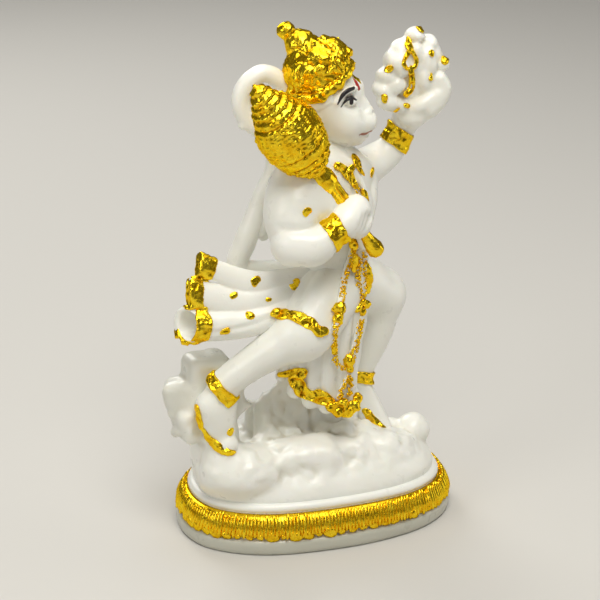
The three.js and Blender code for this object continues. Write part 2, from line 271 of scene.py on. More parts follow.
def group(*forms, blend=0.0):
    """Several lumps joined softly to each other, ready to be added as one."""

    def shape(clay):
        parts = [form(clay) for form in forms]
        cut = tuple(
            slice(min(c[i].start for c, _ in parts), max(c[i].stop for c, _ in parts)) for i in range(3)
        )
        whole = np.full([s.stop - s.start for s in cut], FAR, np.float32)
        for part, distance in parts:
            inner = within(part, cut)
            whole[inner] = melt(whole[inner], distance, blend)
        return cut, whole

    return shape


# %% [markdown]
# ## The hand-made surface
# Nothing cast from a rubber mould is mathematically smooth. A lattice of fixed random numbers,
# smoothed by cubic blending, moves the skin in and out a little, broadly on cloth and sharply on rock.
# The lattice is fixed in space, so neighbouring pieces wander together where they meet.

# %% Wandering noise on the shared lattice
LATTICE = 96
NOISE_GAIN = 1.9  # brings the smoothed noise back to about unit height
lattices = {}


def spline_weights(places, spacing):
    place = places / spacing
    whole = np.floor(place).astype(int)
    t = place - whole
    weights = np.zeros((len(places), LATTICE), np.float32)
    rows = np.arange(len(places))
    shares = ((1 - t) ** 3, 3 * t**3 - 6 * t**2 + 4, -3 * t**3 + 3 * t**2 + 3 * t + 1, t**3)
    for k, share in enumerate(shares):
        weights[rows, (whole + k) % LATTICE] += share / 6
    return weights


def wander(clay, spacing, seed):
    """Smooth noise of about unit height over the whole block."""
    if seed not in lattices:
        draws = np.random.default_rng(seed).standard_normal((LATTICE, LATTICE, LATTICE))
        lattices[seed] = draws.astype(np.float32)
    noise = lattices[seed]
    for axis in clay.axes:
        noise = np.tensordot(noise, spline_weights(axis, spacing), axes=(0, 1))
    return noise * NOISE_GAIN


def roughen(clay, height, spacing, seed, crag=0.0, where=1.0):
    """Moves the skin by noise; crag folds the noise into sharp ridges, as on broken rock."""
    noise = wander(clay, spacing, seed)
    if crag:
        noise = (1 - crag) * noise + crag * (0.8 - 1.6 * np.abs(noise))
    clay.field += height * where * noise


# %% [markdown]
# ## Firing the clay
# The finished block becomes a mesh. A few gentle smoothing passes, out and back so that nothing
# shrinks, take away the grid's own faint steps. Several small blocks can be fired into one piece,
# as the gold bands are, so that each block stays fine where it needs to be.

# %% From distances to a mesh object
SHRINK, SWELL = 0.5, -0.52
WEAR_PASSES = 8


def middles(points, edges):
    """The middle of each point's neighbours."""
    degree = np.bincount(edges.ravel(), minlength=len(points)).astype(float)
    pull = np.zeros_like(points)
    for k in range(3):
        pull[:, k] = np.bincount(edges[:, 0], points[edges[:, 1], k], len(points))
        pull[:, k] += np.bincount(edges[:, 1], points[edges[:, 0], k], len(points))
    return pull / degree[:, None]


def relax(points, edges, passes):
    """Takes away the grid's steps, in and out by turns so that the form keeps its size."""
    for i in range(2 * passes):
        points = points + (SHRINK if i % 2 == 0 else SWELL) * (middles(points, edges) - points)
    return points


def worn_down(points, edges):
    """Where the points would lie on a casting whose ridges and creases were worn away."""
    for _ in range(WEAR_PASSES):
        points = middles(points, edges)
    return points


def skin(clay):
    """The closed surface where the distance is nought, as points in millimetres and faces."""
    limit = 3 * clay.grain
    grid = vdb.FloatGrid(limit)
    grid.copyFromArray(np.clip(clay.field, -limit, limit).astype(np.float32))
    grid.transform = vdb.createLinearTransform(voxelSize=clay.grain)
    points, triangles, quads = grid.convertToPolygons(isovalue=0.0, adaptivity=0.0)
    return points.astype(float) + clay.grain * clay.start, triangles, quads


def shown(mesh):
    """A smooth-shaded object of the mesh, at the origin, in the scene."""
    mesh.shade_smooth()
    piece = bpy.data.objects.new(mesh.name, mesh)
    bpy.context.scene.collection.objects.link(piece)
    return piece


def fire(name, *clays, smoothing=2):
    """One mesh object from the skins of several blocks, with an attribute that measures hollows."""
    skins = [skin(clay) for clay in clays]
    starts = np.cumsum([0] + [len(points) for points, _, _ in skins])
    points = np.concatenate([points for points, _, _ in skins])
    triangles = np.concatenate([t + n for (_, t, _), n in zip(skins, starts)])
    quads = np.concatenate([q + n for (_, _, q), n in zip(skins, starts)])
    sizes = np.concatenate([np.full(len(triangles), 3), np.full(len(quads), 4)])
    mesh = bpy.data.meshes.new(name)
    mesh.vertices.add(len(points))
    mesh.loops.add(int(sizes.sum()))
    mesh.polygons.add(len(sizes))
    loops = np.concatenate([triangles.ravel(), quads.ravel()]).astype(np.int32)
    mesh.loops.foreach_set("vertex_index", loops)
    loop_starts = np.concatenate([[0], np.cumsum(sizes)[:-1]]).astype(np.int32)
    mesh.polygons.foreach_set("loop_start", loop_starts)
    mesh.update(calc_edges=True)
    edges = np.empty(2 * len(mesh.edges), np.int32)
    mesh.edges.foreach_get("vertices", edges)
    edges = edges.reshape(-1, 2)
    points = relax(points, edges, smoothing)
    points[:, 2] += PLINTH_TOP
    mesh.vertices.foreach_set("co", (points * MM).astype(np.float32).ravel())
    mesh.update()
    normals = np.empty(len(points) * 3, np.float32)
    mesh.vertices.foreach_get("normal", normals)
    hollow = ((worn_down(points, edges) - points) * normals.reshape(-1, 3)).sum(1)
    mesh.attributes.new("hollow", "FLOAT", "POINT").data.foreach_set("value", hollow.astype(np.float32))
    print(name, "has", int((sizes - 2).sum()), "triangles")
    return shown(mesh)


# %% [markdown]
# ## The body
# The torso leans into the stride and turns its chest half towards the viewer. Shoulders, arms and
# hands are lumps pushed together with a broad thumb, and the crook of the near elbow keeps a soft
# crease, because the forearm folds hard against the upper arm.

# %% Torso, stole and arms
CHEST = (0.58, -0.81, 0.0)


def model_torso(clay):
    trunk = [(4, 0.4, 46, 11.2), (3.6, 0, 56, 9.4), (4, -0.4, 66, 11.4), (4.6, 0, 76.4, 10.8)]
    clay.add(limb(trunk, 0.8, CHEST))
    clay.add(limb([(5.2, 0.4, 78, 5.8), (4.6, 0.4, 84, 4.2), (3.8, 0, 92, 4.8)]), 2)
    clay.add(ball((8.6, -4.6, 71.5), (4.6, 5, 4.6), -54), 2)
    clay.add(ball((7.6, -4.8, 59), (4.4, 5.6, 5.6), -54), 3)
    # shoulder blades and the hollow of the back
    clay.add(ball((-4.4, 2.4, 73), (3, 4.6, 6.4), 30), 3)
    clay.add(ball((4.6, 8.4, 73), (4.6, 3, 6), -20), 3)
    clay.carve(limb([(-1.6, 8.6, 78, 0.5), (-2.4, 8, 68, 0.9), (-2.4, 7.2, 58, 0.7)]), 2.4)
    # near upper arm
    upper = [(0, -3, 80, 7), (-6.6, -8.4, 78.4, 8), (-9.4, -11.8, 73.4, 6.9), (-9.8, -12.4, 68.6, 5)]
    clay.add(limb(upper), 4)
    # far upper arm and forearm
    raised = [(9, 3, 76.8, 5.6), (13.6, 6.6, 76.6, 5.2), (18.4, 9.6, 77.2, 4.6), (23.2, 10.6, 79.6, 3.8)]
    raised += [(25.7, 10, 83.8, 3.1), (27.2, 9.8, 87.6, 3.5)]
    clay.add(limb(raised), 3)
    # stole over the far shoulder, with a turned-back edge at the neck
    across = (0.6, -0.8, 0.2)
    stole = [(5, -5.6, 82.6, 1.8), (8.6, -3.6, 81.8, 2.4), (12.2, -0.4, 80, 2.8), (14.4, 1.6, 76.4, 2.9)]
    stole += [(13.2, -3, 72.8, 2.6), (11.2, -7.8, 68.4, 1.4)]
    clay.add(limb(stole, 0.7, across), 0.4)
    clay.add(limb([(3.8, -7.4, 83.8, 0.9), (6.2, -7.2, 82.4, 1.1), (8.2, -8, 79.4, 0.9)], 0.7, across), 0.4)
    edge = [(5, -6.4, 84.8, 0.9), (7.4, -7.4, 82.6, 1.2), (9.4, -8.4, 78.6, 1), (10.6, -9, 74.4, 0.8)]
    clay.add(limb(edge, 0.8, across), 0.5)
    # the chest swells beside the shaft of the mace
    clay.add(limb([(-4, -11.4, 80, 4.6), (-1.8, -12.2, 75.6, 4.2), (0.6, -12.4, 72, 3.4)]), 2.5)
    # near forearm, wrist and fist
    forearm = [(-10.4, -15.6, 67.6, 5.6), (-5.8, -17.6, 67.6, 5), (-1.4, -17.6, 70.2, 3.4)]
    forearm.append((1.2, -17.2, 71.6, 3))
    fist = group(
        limb([(0.6, -17.2, 71.4, 3.2), (3.4, -16.4, 72.8, 4.4), (5.6, -14.6, 74.6, 3.9)]),
        ball((6.2, -14.2, 71.8), (3.8, 3.6, 5)),
        blend=2,
    )
    clay.add(group(limb(forearm), fist, blend=1.5), 0.6)
    # thin web of resin left between the tail and the back
    web = [(-4.6, 3, 85, 2), (-7.4, 3, 79, 3), (-9.6, 3, 72, 3.8), (-11.6, 3, 66.6, 3), (-12.2, 3, 63.6, 1.3)]
    clay.add(limb(web, 0.4), 1.6)
    for k in range(4):
        crinkle = [(-13.6 + 1.3 * k, 2, 64.4 + 1.2 * k, 0.7), (-12.6 + 1.2 * k, 1.8, 68 + 1.3 * k, 0.8)]
        clay.add(limb(crinkle), 0.8)
    # the crook of the elbow, and slack folds over the upper arm, pressed in with a thumb
    crook = [(-16, -16.4, 73, 0.3), (-11, -19.8, 73, 0.8), (-5.6, -20.8, 72.8, 0.7), (-2, -20, 72.6, 0.3)]
    clay.carve(limb(crook), 1.4)
    for k in range(3):
        fold = [(-4.4 + 1.6 * k, -17 - 0.8 * k, 83.4 - k, 0.2), (-8.6 + 1.8 * k, -19.4, 79.6 - 0.6 * k, 0.6)]
        fold.append((-12.6 + 2.2 * k, -19, 76.4 - 0.4 * k, 0.2))
        clay.carve(limb(fold), 2)
    for k in range(3):
        foot = (3.4 + 1.5 * k, -21.2 + 1.3 * k, 69.6 - 0.2 * k, 0.3)
        clay.carve(limb([foot, (6.4 + 1.1 * k, -19.4 + 1.4 * k, 74.6 - 0.7 * k, 0.3)]), 1)
    roughen(clay, 0.2, 6.2, 20)
    roughen(clay, 0.07, 3.4, 21)


# %% [markdown]
# ## Legs
# The near leg trails with its heel up, the far one is bent hard with its foot on the rocks.
# Both are smooth and full, with a bulge of calf behind and a narrow ankle inside the gold anklet.

# %% Legs and feet
def model_legs(clay):
    clay.add(limb([(4, -3, 51.4, 8.4), (-2, -9, 47.4, 8), (-7.5, -13, 43.4, 7.2)]))
    calf = [(-6.8, -12.8, 44.6, 6.5), (-13.4, -12.4, 40.4, 5.4), (-20.2, -10.6, 35.6, 4.1)]
    clay.add(limb([*calf, (-26.4, -9.2, 30.6, 3.6)]), 2)
    # near foot: instep, heel and toes pressed down on the pillar
    clay.add(limb([(-26.6, -9, 29.4, 4.1), (-28, -9, 22.4, 4.8), (-26.8, -9.4, 14.6, 2.9)], 0.78), 1.5)
    clay.add(ball((-30.2, -9, 25), (3, 3.4, 3.8), tilt=30), 2)
    clay.add(ball((-26.4, -11.4, 15), (3.2, 2.4, 2.6), 0, 20), 1.5)
    # far leg
    clay.add(limb([(8, 4, 48.4, 8.2), (15, 6, 46, 7.4), (20.6, 8, 42.6, 6.4)]), 1)
    clay.add(limb([(20.6, 8, 41.4, 6.2), (18, 7.4, 31.6, 5.2), (13.8, 5.6, 20.4, 3)]), 2.5)
    clay.add(limb([(14, 5, 18.6, 3.3), (15.8, 3, 12.4, 4), (18.2, 0, 8.4, 3.1)], 0.8), 1.5)
    # folds of the dhoti drawn tight along the near thigh
    hip, knee = np.array((3.0, -4.0, 50.6)), np.array((-6.2, -12.2, 44.4))
    run = unit(knee - hip)
    up = unit(np.array((0, 0, 1)) - run[2] * run)
    front = np.cross(run, up)
    for k, angle in enumerate(np.radians((-8, 18, 44, 70, 96))):
        out = math.cos(angle) * up + math.sin(angle) * front
        middle = (hip + knee) / 2 + (7.9 + 0.2 * (k % 2)) * out
        fold = [(*(hip + 8.2 * out), 0.7), (*middle, 0.9), (*(knee + 7.1 * out), 0.5)]
        clay.add(limb(fold), 1.6)
    roughen(clay, 0.18, 5.4, 20)
    roughen(clay, 0.07, 3.4, 21)


# %% [markdown]
# ## Cloth
# Cast drapery is a bundle of soft ridges with creases between them. Each fold here is a flattened
# limb, and a small blend leaves the crease. The dhoti falls between the legs in pleats, the shawl
# flies out behind in three rolls, and the lowest roll is open at its end.

# %% Dhoti
PLEATS = [
    [(-7.5, -7.5, 42, 1.6), (-10.6, -7, 37, 1.7), (-13.4, -6.8, 32.6, 1.3)],
    [(-6.4, -9, 43, 1.6), (-9, -8.6, 36, 2.1), (-11, -7.8, 30.4, 1.8)],
    [(-4, -10, 43, 1.8), (-6.4, -9.6, 36, 2.3), (-7.6, -8.8, 26.6, 2.3)],
    [(-1, -10.8, 44, 1.8), (-3.2, -10.6, 36, 2.2), (-3.6, -9.4, 23.6, 2.4)],
    [(2, -10.8, 44, 1.8), (0.2, -10.8, 35, 2.2), (0.6, -9.2, 21.6, 2.5)],
    [(5, -10, 45, 2), (4, -10, 34, 2.2), (4, -8.6, 20.4, 2.4)],
    [(8, -8.4, 46, 2), (7, -8.4, 34, 2), (6.6, -7.4, 20.8, 2.1)],
    [(10.6, -5.4, 46, 2), (9, -5.6, 34, 2), (8, -4.6, 22, 1.9)],
    # round the hidden side
    [(12, 0, 44, 2), (10.4, -0.6, 34, 2), (8.8, -0.6, 24, 1.9)],
    [(9.6, 5.4, 44, 2), (8.6, 4.4, 34, 2.1), (7.4, 3.6, 24, 2)],
    [(4.6, 7.4, 44, 2), (3.6, 5.8, 34, 2.4), (3.2, 5, 24, 2.2)],
    [(-1.4, 6.8, 44, 2), (-3.4, 4.4, 36, 2.4), (-4, 3.4, 26, 2.2)],
    [(-6, 2.6, 44, 2), (-8, 0.6, 37, 2.1), (-8.6, -0.4, 31, 1.8)],
]


def model_dhoti(clay):
    clay.add(ball((4, 0.4, 48), (11.6, 9.2, 8.6), 30))
    clay.add(ball((-0.6, -2.4, 34), (8.8, 6.4, 11), 20), 2)
    clay.add(ball((5.2, 0, 31), (4.6, 4.6, 10.4), 20), 2)
    for stations in PLEATS:
        clay.add(limb(stations, 0.8, (0.2, -0.96, 0.1)), 0.9)
    roughen(clay, 0.3, 4.2, 22)
    roughen(clay, 0.1, 2.0, 25)


print("the dhoti falls in", len(PLEATS), "pleats")


# %% Forms sliced or cut by others
def cut_off(form, point, way):
    """A form with everything beyond a plane sliced away."""
    normal = unit(way)

    def shape(clay):
        cut, distance = form(clay)
        x, y, z = clay.places(cut)
        beyond = (x - point[0]) * normal[0] + (y - point[1]) * normal[1] + (z - point[2]) * normal[2]
        return cut, -melt(-distance, -beyond.astype(np.float32), 0.8)

    shape.box = getattr(form, "box", None)
    return shape


def spared(form, other):
    """A form with another one cut out of it."""

    def shape(clay):
        cut, distance = form(clay)
        part, hole = other(clay)
        whole = np.full_like(clay.field, FAR)
        whole[part] = hole
        return cut, np.maximum(distance, -whole[cut])

    shape.box = form.box
    return shape


# %% Shawl
TOWARDS = (0.0, -1.0, 0.3)
ROLL = [(-31.5, -8.4, 47.2, 2.2), (-35.4, -9, 47.4, 3.4), (-41, -11, 47.6, 3.9)]


def model_shawl(clay):
    top = [(1, -5, 55, 4), (-9.6, -7, 54.8, 3.4), (-19.4, -7, 56.2, 3)]
    top += [(-28, -6.2, 60, 2.7), (-32.6, -5.6, 62.4, 2.7)]
    middle = [(1, -7, 53, 4), (-10, -8.6, 52, 3.4), (-20.4, -8.2, 51.4, 3.5), (-35, -7, 55, 4.2)]
    low = [(0, -8, 50.8, 4), (-9, -9.4, 49, 3.4), (-19.4, -9.2, 46.6, 3.9)]
    low += [(-32, -8.4, 47, 4.4), (-38, -8.4, 47.4, 4.6)]
    clay.add(cut_off(limb(top, 0.5, TOWARDS), (-31.2, -6, 61.4), (-1, -0.2, 0.4)))
    clay.add(cut_off(limb(middle, 0.55, TOWARDS), (-34, -7, 54), (-1, 0, 0.1)), 0.35)
    clay.add(cut_off(limb(low, 0.85, TOWARDS), (-35.6, -8.6, 47.4), (-1, -0.55, 0.2)), 0.35)
    # sharp pleat lines running along the folds
    line = [(-31.4, -9.6, 57.2, 0.4), (-22.2, -10.2, 54.8, 0.6), (-13.6, -10.8, 55.4, 0.5)]
    clay.carve(limb([*line, (-8, -11, 58, 0.2)]), 0.5)
    clay.carve(limb([(-31.4, -11.4, 52.4, 0.4), (-21.6, -11.8, 52.6, 0.6), (-12.8, -12.2, 53.6, 0.4)]), 0.5)
    clay.carve(limb([(-30, -12.4, 46, 0.3), (-20, -12.6, 47, 0.5), (-10, -12.8, 50, 0.3)]), 0.9)
    clay.add(limb([(-8, -4, 48.4, 3), (-18, -3, 46, 3.2), (-28.6, -3, 43.6, 2.6)], 0.5, TOWARDS), 0.6)
    clay.carve(limb(ROLL, 0.85, TOWARDS), 0.4)
    roughen(clay, 0.16, 4.2, 22)
    roughen(clay, 0.06, 2.0, 25)


# %% Tail
def model_tail(clay):
    spine = [
        (2, 5, 53, 4.2),
        (-9, 5.4, 52.4, 3.4),
        (-18.4, 4, 56, 2.9),
        (-16.4, 3, 64, 2.8),
        (-12.8, 3, 73, 2.4),
        (-9.6, 3, 82, 2),
        (-11.4, 3, 89, 2.1),
        (-15.8, 3, 93.4, 2.3),
        (-17.7, 3, 98.6, 2.3),
        (-15.8, 3, 103.2, 2.3),
        (-11.8, 3, 104.9, 2.3),
        (-7.8, 3, 102.6, 2.2),
        (-4.6, 3, 97.6, 1.8),
    ]
    clay.add(limb(spine))
    clay.add(ball((-17.4, 2.6, 92.6), (1.2, 1.2, 1)), 0.8)
    roughen(clay, 0.12, 2.6, 23)


# %% [markdown]
# ## The head
# A traditional monkey face in profile: a full muzzle, a short broad nose, a soft brow and a round jaw.
# It is worked in the head's own frame, ahead, aside and up from the middle of the skull, and each
# feature is made on both sides, so the hidden side is as finished as the near one.

# %% Head
SKULL = (3.0, 0.0, 98.0)
HEAD_TURN = -18.0


def of_head(ahead, aside, up):
    """A point given from the middle of the skull; aside is positive towards the viewer."""
    c, s = turned_by(HEAD_TURN)
    return (SKULL[0] + c * ahead + s * aside, SKULL[1] + s * ahead - c * aside, SKULL[2] + up)


def head_ball(place, sizes, tilt=0.0):
    return ball(of_head(*place), sizes, HEAD_TURN, tilt)


def head_limb(stations):
    return limb([(*of_head(*s[:3]), s[3]) for s in stations], step=0.8)


def model_eye(clay, side):
    """A socket with an eyeball, lids and a brow ridge; side is 1 or -1."""
    clay.carve(head_ball((6.7, 6 * side, 0.9), (2.6, 1.5, 2)), 1.4)
    clay.add(head_ball((5.6, 4.7 * side, 0.9), (1.8, 1.3, 1.15)), 0.3)
    lids = [(3.9, 5.9 * side, 0.4, 0.25), (4.8, 6.1 * side, 1.7, 0.35)]
    lids += [(6.2, 5.3 * side, 2, 0.35), (7.3, 4 * side, 1.2, 0.25)]
    clay.add(head_limb(lids), 0.35)
    brow = [(2.4, 6.9 * side, 1.4, 0.7), (4.4, 6.3 * side, 3.7, 0.8), (6.8, 4.2 * side, 4, 0.7)]
    clay.add(head_limb(brow), 1)


def model_cheek(clay, side):
    """The mouth with a raised corner and the fold beside it, the ear, and the hair below the crown."""
    mouth = [(11.4, 0, -7.2, 0.3), (10.4, 2 * side, -7.6, 0.4)]
    mouth += [(8.6, 3.6 * side, -7.7, 0.4), (7, 4.6 * side, -6.7, 0.25)]
    clay.carve(head_limb(mouth), 0.45)
    fold = [(9.8, 2.4 * side, -3.6, 0.2), (8.4, 3.6 * side, -5, 0.35), (7.2, 4.6 * side, -6.8, 0.2)]
    clay.carve(head_limb(fold), 0.9)
    clay.add(head_ball((-3.6, 7.1 * side, -2.6), (1.9, 1.2, 3), 20), 0.7)
    clay.carve(head_ball((-3.4, 8.2 * side, -2.4), (0.9, 0.7, 1.7), 20), 0.6)
    for k in range(3):
        lock = [(-4.4, 6.8 * side, 1.4 - k, 0.8), (-2, 7.3 * side, 2 - 0.9 * k, 0.8)]
        lock.append((0.8, 7.3 * side, 3.2 - 0.8 * k, 0.7))
        clay.add(head_limb(lock), 0.4)


def model_head(clay):
    clay.add(head_ball((0, 0, 0), (8.5, 7.7, 9.2)))
    clay.add(limb([(4.6, 0.4, 82, 4.2), (3.8, 0, 92, 4.8)]), 2)
    # muzzle, jaw and chin
    clay.add(head_ball((7.2, 0, -5.4), (4.9, 4.6, 3.9), 4), 2)
    clay.add(head_ball((4.6, 0, -8.2), (4, 4.2, 3.2), 10), 2)
    clay.add(head_ball((7.4, 0, -9.8), (2.1, 2.6, 1.7), 10), 1)
    # brow, bridge and tip of the nose
    clay.add(head_limb([(7.4, 0, 3.4, 1.6), (7.8, 0, 0.8, 1.4), (9, 0, -1.4, 1.5)]), 1.6)
    clay.add(head_ball((10.1, 0, -2.6), (1.3, 2, 1.1), -10), 0.7)
    # lower lip
    clay.add(head_ball((8.5, 0, -8.7), (1.9, 2.6, 1), -10), 0.6)
    for side in (1, -1):
        clay.add(head_ball((4.2, 4.2 * side, -4.6), (4.4, 3.5, 4.4)), 2)
        # upper lip pads and nostrils
        clay.add(head_ball((8.9, 1.5 * side, -5.2), (3.2, 2.8, 2.4), -4), 0.9)
        clay.add(head_ball((9.6, 1.8 * side, -2.9), (1.2, 0.9, 0.8)), 0.35)
        clay.carve(head_ball((11.2, 0.9 * side, -3.1), (0.6, 0.5, 0.4)), 0.3)
        model_eye(clay, side)
        model_cheek(clay, side)
    # hair at the nape
    for k in range(-2, 3):
        lock = [(-7, 2.3 * k, 0, 2), (-8.2, 2.1 * k, -5, 2), (-5.6, 1.9 * k, -11, 1.4)]
        clay.add(head_limb(lock), 0.7)
    roughen(clay, 0.04, 2.6, 24)


print("the tip of the nose lies at", [round(v, 1) for v in of_head(10.1, 0, -2.6)])


# %% Crown
def model_crown(clay):
    clay.add(head_ball((-2.2, 0, 7.8), (8.4, 8, 8), 35))
    clay.add(head_ball((2.6, 0, 10.4), (3.4, 5.2, 4.8), 35), 0.8)
    brim = [(6.2, 0, 8.6, 1.1), (5.6, 4.2, 8.2, 1.3), (2.4, 7.2, 5.6, 1.4), (-1.4, 8, 3, 1.4)]
    brim += [(-5, 6.8, 2, 1.3), (-7.8, 4, 1.8, 1.3), (-8.6, 0, 1.8, 1.3)]
    for side in (1, -1):
        clay.add(head_limb([(a - 0.5, s * side * 0.95, h, r) for a, s, h, r in brim]), 0.8)
        clay.carve(head_limb([(a - 0.2, s * side * 1.04, h + 2, 0.3) for a, s, h, r in brim[:5]]), 0.7)
        # the front ornament stands behind a groove that follows the profile
        groove = [(-2.8, 0, 16.2, 1.2), (-1.8, 2.4 * side, 15.8, 1.1)]
        groove += [(1.8, 4.2 * side, 14, 0.8), (4.4, 5.4 * side, 10.8, 0.5)]
        clay.carve(head_limb(groove), 0.7)
        # leaves and scrolls raised on the temple
        clay.add(head_ball((1.6, 5.8 * side, 9.6), (2.6, 1.6, 2.8), 40), 0.3)
        clay.add(head_ball((-4.4, 6.4 * side, 8.4), (2.4, 1.6, 2.4), 30), 0.3)
        for k in range(4):
            scroll = [(-6 + 2.2 * k, 7.2 * side, 6 + 0.9 * k, 0.5)]
            scroll.append((-4.8 + 2.2 * k, 6.4 * side, 9.6 + 0.8 * k, 0.6))
            scroll.append((-3 + 2 * k, 4.6 * side, 12.4 + 0.5 * k, 0.4))
            clay.add(head_limb(scroll), 0.4)
    roughen(clay, 0.22, 2.2, 48, crag=0.8)
    roughen(clay, 0.24, 1.3, 41, crag=0.8)
    # stepped neck and knob
    clay.add(head_limb([(-5.6, 0, 12.8, 3.9), (-6.2, 0, 13.6, 3.8)]), 0.5)
    clay.add(head_limb([(-6.9, 0, 13.8, 3), (-7.2, 0, 14.3, 2.9)]), 0.3)
    clay.add(head_limb([(-8, 0, 14.8, 2.1), (-8.6, 0, 15.6, 1.8)]), 0.3)
    clay.add(head_ball((-9.7, 0, 17), (2.3, 2.3, 2.2)), 0.3)
    roughen(clay, 0.13, 0.85, 40, crag=0.8)
    roughen(clay, 0.05, 0.55, 42, crag=0.5)


# %% [markdown]
# ## Mace and mountain
# The mace is a turned form: a flared foot, a slim fluted shaft, a collar and a swelling head that
# steps up to a point. Its head is pressed all over with rows of small dashes. The mountain is a
# rounded mass of boulders held in the fingers.

# %% Mace
MACE_END = (12.6, -12.2, 61.4)
MACE_TIP = (-20.0, -15.4, 108.0)
# foot, shaft and collar, then the head, as (radius, share of the height)
MACE_PROFILE = [(0, 0), (1.6, 0.004), (2.1, 0.02), (2.1, 0.045), (1.7, 0.08), (1.4, 0.12), (1.5, 0.15)]
MACE_PROFILE += [(2.3, 0.2), (2.4, 0.4), (2.9, 0.43), (2.9, 0.47), (2.3, 0.5)]
MACE_PROFILE += [(4.2, 0.535), (6.7, 0.6), (7.8, 0.67), (8, 0.73), (7.2, 0.79)]
MACE_PROFILE += [(5.6, 0.845), (4.2, 0.89), (2.9, 0.935), (1.5, 0.98), (0, 1)]
MACE_GROOVES = (0.515, 0.54, 0.57, 0.605, 0.66, 0.825)


def mace_ripple(height, around):
    """How far the mace's skin stands out from its profile: grooves, steps, dashes and flutes."""
    groove = sum(np.exp(-(((height - g) / 0.006) ** 2)) for g in MACE_GROOVES)
    ripple = -0.5 * groove
    tip = np.clip((height - 0.835) / 0.02, 0, 1)
    ripple = ripple + 0.26 * tip * np.sin(2 * np.pi * (height - 0.84) / 0.03)
    low = np.clip((0.6 - height) / 0.01, 0, 1) * np.clip((height - 0.535) / 0.01, 0, 1)
    head = np.clip((height - 0.66) / 0.01, 0, 1) * (1 - tip)
    rows = np.sin(2 * np.pi * height * 58)
    dashes = rows * (1 + np.sin(26 * around + 5 * np.floor(height * 58)))
    ripple = ripple + (0.06 * head + 0.12 * low) * dashes
    shaft = np.clip((0.42 - height) / 0.02, 0, 1) * np.clip((height - 0.13) / 0.02, 0, 1)
    return ripple + 0.24 * shaft * np.sin(8 * around)


def model_mace(clay):
    clay.add(turned(MACE_PROFILE, MACE_END, MACE_TIP, mace_ripple))
    # a smoother belt runs round the lower half of the head
    end, line = np.array(MACE_END), np.array(MACE_TIP) - np.array(MACE_END)
    line = line / line.dot(line)
    x, y, z = clay.places()
    height = (x - end[0]) * line[0] + (y - end[1]) * line[1] + (z - end[2]) * line[2]
    rough = (1 - 0.8 * np.exp(-(((height - 0.632) / 0.02) ** 2))) * np.clip((height - 0.48) / 0.03, 0.3, 1)
    rough = rough.astype(np.float32)
    roughen(clay, 0.13, 1.5, 43, crag=0.6, where=rough)
    roughen(clay, 0.17, 0.8, 44, crag=0.8, where=rough)
    roughen(clay, 0.05, 0.5, 47, crag=0.5)


print("the mace is", round(math.dist(MACE_END, MACE_TIP), 1), "mm long")


# %% Mountain and the hand under it
def model_mountain(clay):
    clay.add(ball((27.6, 7.4, 101.6), (6.6, 4.6, 8.6)))
    rim = [
        ((28.2, 6.8, 110.3), (2.6, 3, 1.9)),
        ((32, 6.6, 108), (1.9, 3, 1.9)),
        ((24.6, 6.6, 107.2), (2.6, 3, 2.2)),
        ((21.9, 6.4, 104.4), (2.1, 3.2, 2.3)),
        ((32.8, 6.6, 105), (2.2, 3.2, 2.8)),
        ((20.3, 6, 100.9), (2.2, 3, 2.1)),
        ((19.2, 5.4, 97.6), (2.2, 2.8, 1.9)),
        ((20.4, 5, 94.6), (2.8, 2.8, 2.1)),
        ((23.6, 5.6, 93.4), (2.4, 2.6, 2)),
    ]
    for place, sizes in rim:
        clay.add(ball(place, sizes), 1.3)
    # low swellings and hollows on the side that shows
    face = [
        ((24, 3.6, 103.6), (2, 1.6, 3)),
        ((31, 3.4, 104), (1.8, 1.5, 3.4)),
        ((23, 3.4, 98.8), (2.4, 1.6, 2)),
        ((29.6, 3.2, 99.6), (2, 1.5, 2.4)),
        ((27.4, 4, 107), (1.6, 1.6, 2)),
    ]
    for place, sizes in face:
        clay.add(ball(place, sizes), 1.2)
    clay.carve(limb([(26.2, 2, 107.6, 0.5), (27.2, 1.6, 103, 0.9), (26.6, 1.8, 97.4, 0.6)]), 1.8)
    roughen(clay, 0.42, 3, 11)
    roughen(clay, 0.14, 1.4, 12, crag=0.3)
    # palm and heel of the hand, thumb in front, finger ends over the far edge
    clay.add(limb([(26.6, 9.8, 85.6, 3.2), (27.6, 9, 88.6, 4), (29, 7.8, 91, 4.3)], 0.85), 1)
    clay.add(ball((30.2, 5.8, 92.2), (4, 3.8, 3.4), 0, -10), 1)
    clay.add(ball((27.8, 5.6, 90.2), (3.8, 3.6, 3.2), 0, 10), 1)
    clay.add(limb([(25.4, 6, 91.4, 2.2), (28.6, 3.2, 93.2, 2), (32.6, 3, 95.8, 1.6)]), 0.7)
    for k in range(4):
        side = 3.4 + 2.3 * k
        finger = [(31.4, side, 92.4, 2.4), (33.6, side, 94.6, 2.4), (34.6, side, 97.2 - 0.3 * k, 2.2)]
        finger.append((33.8, side, 99.6 - 0.5 * k, 1.8))
        clay.add(limb(finger), 1.3)
    clay.add(ball((31.6, 4.6, 97.6), (2.6, 2, 3)), 1.3)
    clay.add(ball((34.8, 4.8, 102.8), (1.9, 2, 1.7)), 0.8)


# %% [markdown]
# ## Rocks
# Behind the near foot stands a smooth slab of rock, the dhoti rests on a crag, and a lumpy mound
# covers the plinth, whose plan is a rounded oblong, a superellipse.

# %% The plinth's plan
HALF_LENGTH = 36.0
HALF_WIDTH = 23.0
SQUARENESS = 2.35
MOUND_FOOT = 4.2
MOUND_HEIGHT = 11.0
LIP = 3.9


def share_of_plan(x, y, long, wide):
    """How far a point lies from the middle, as a share of the way to the plan's edge."""
    return ((np.abs(x) / long) ** SQUARENESS + (np.abs(y) / wide) ** SQUARENESS) ** (1 / SQUARENESS)


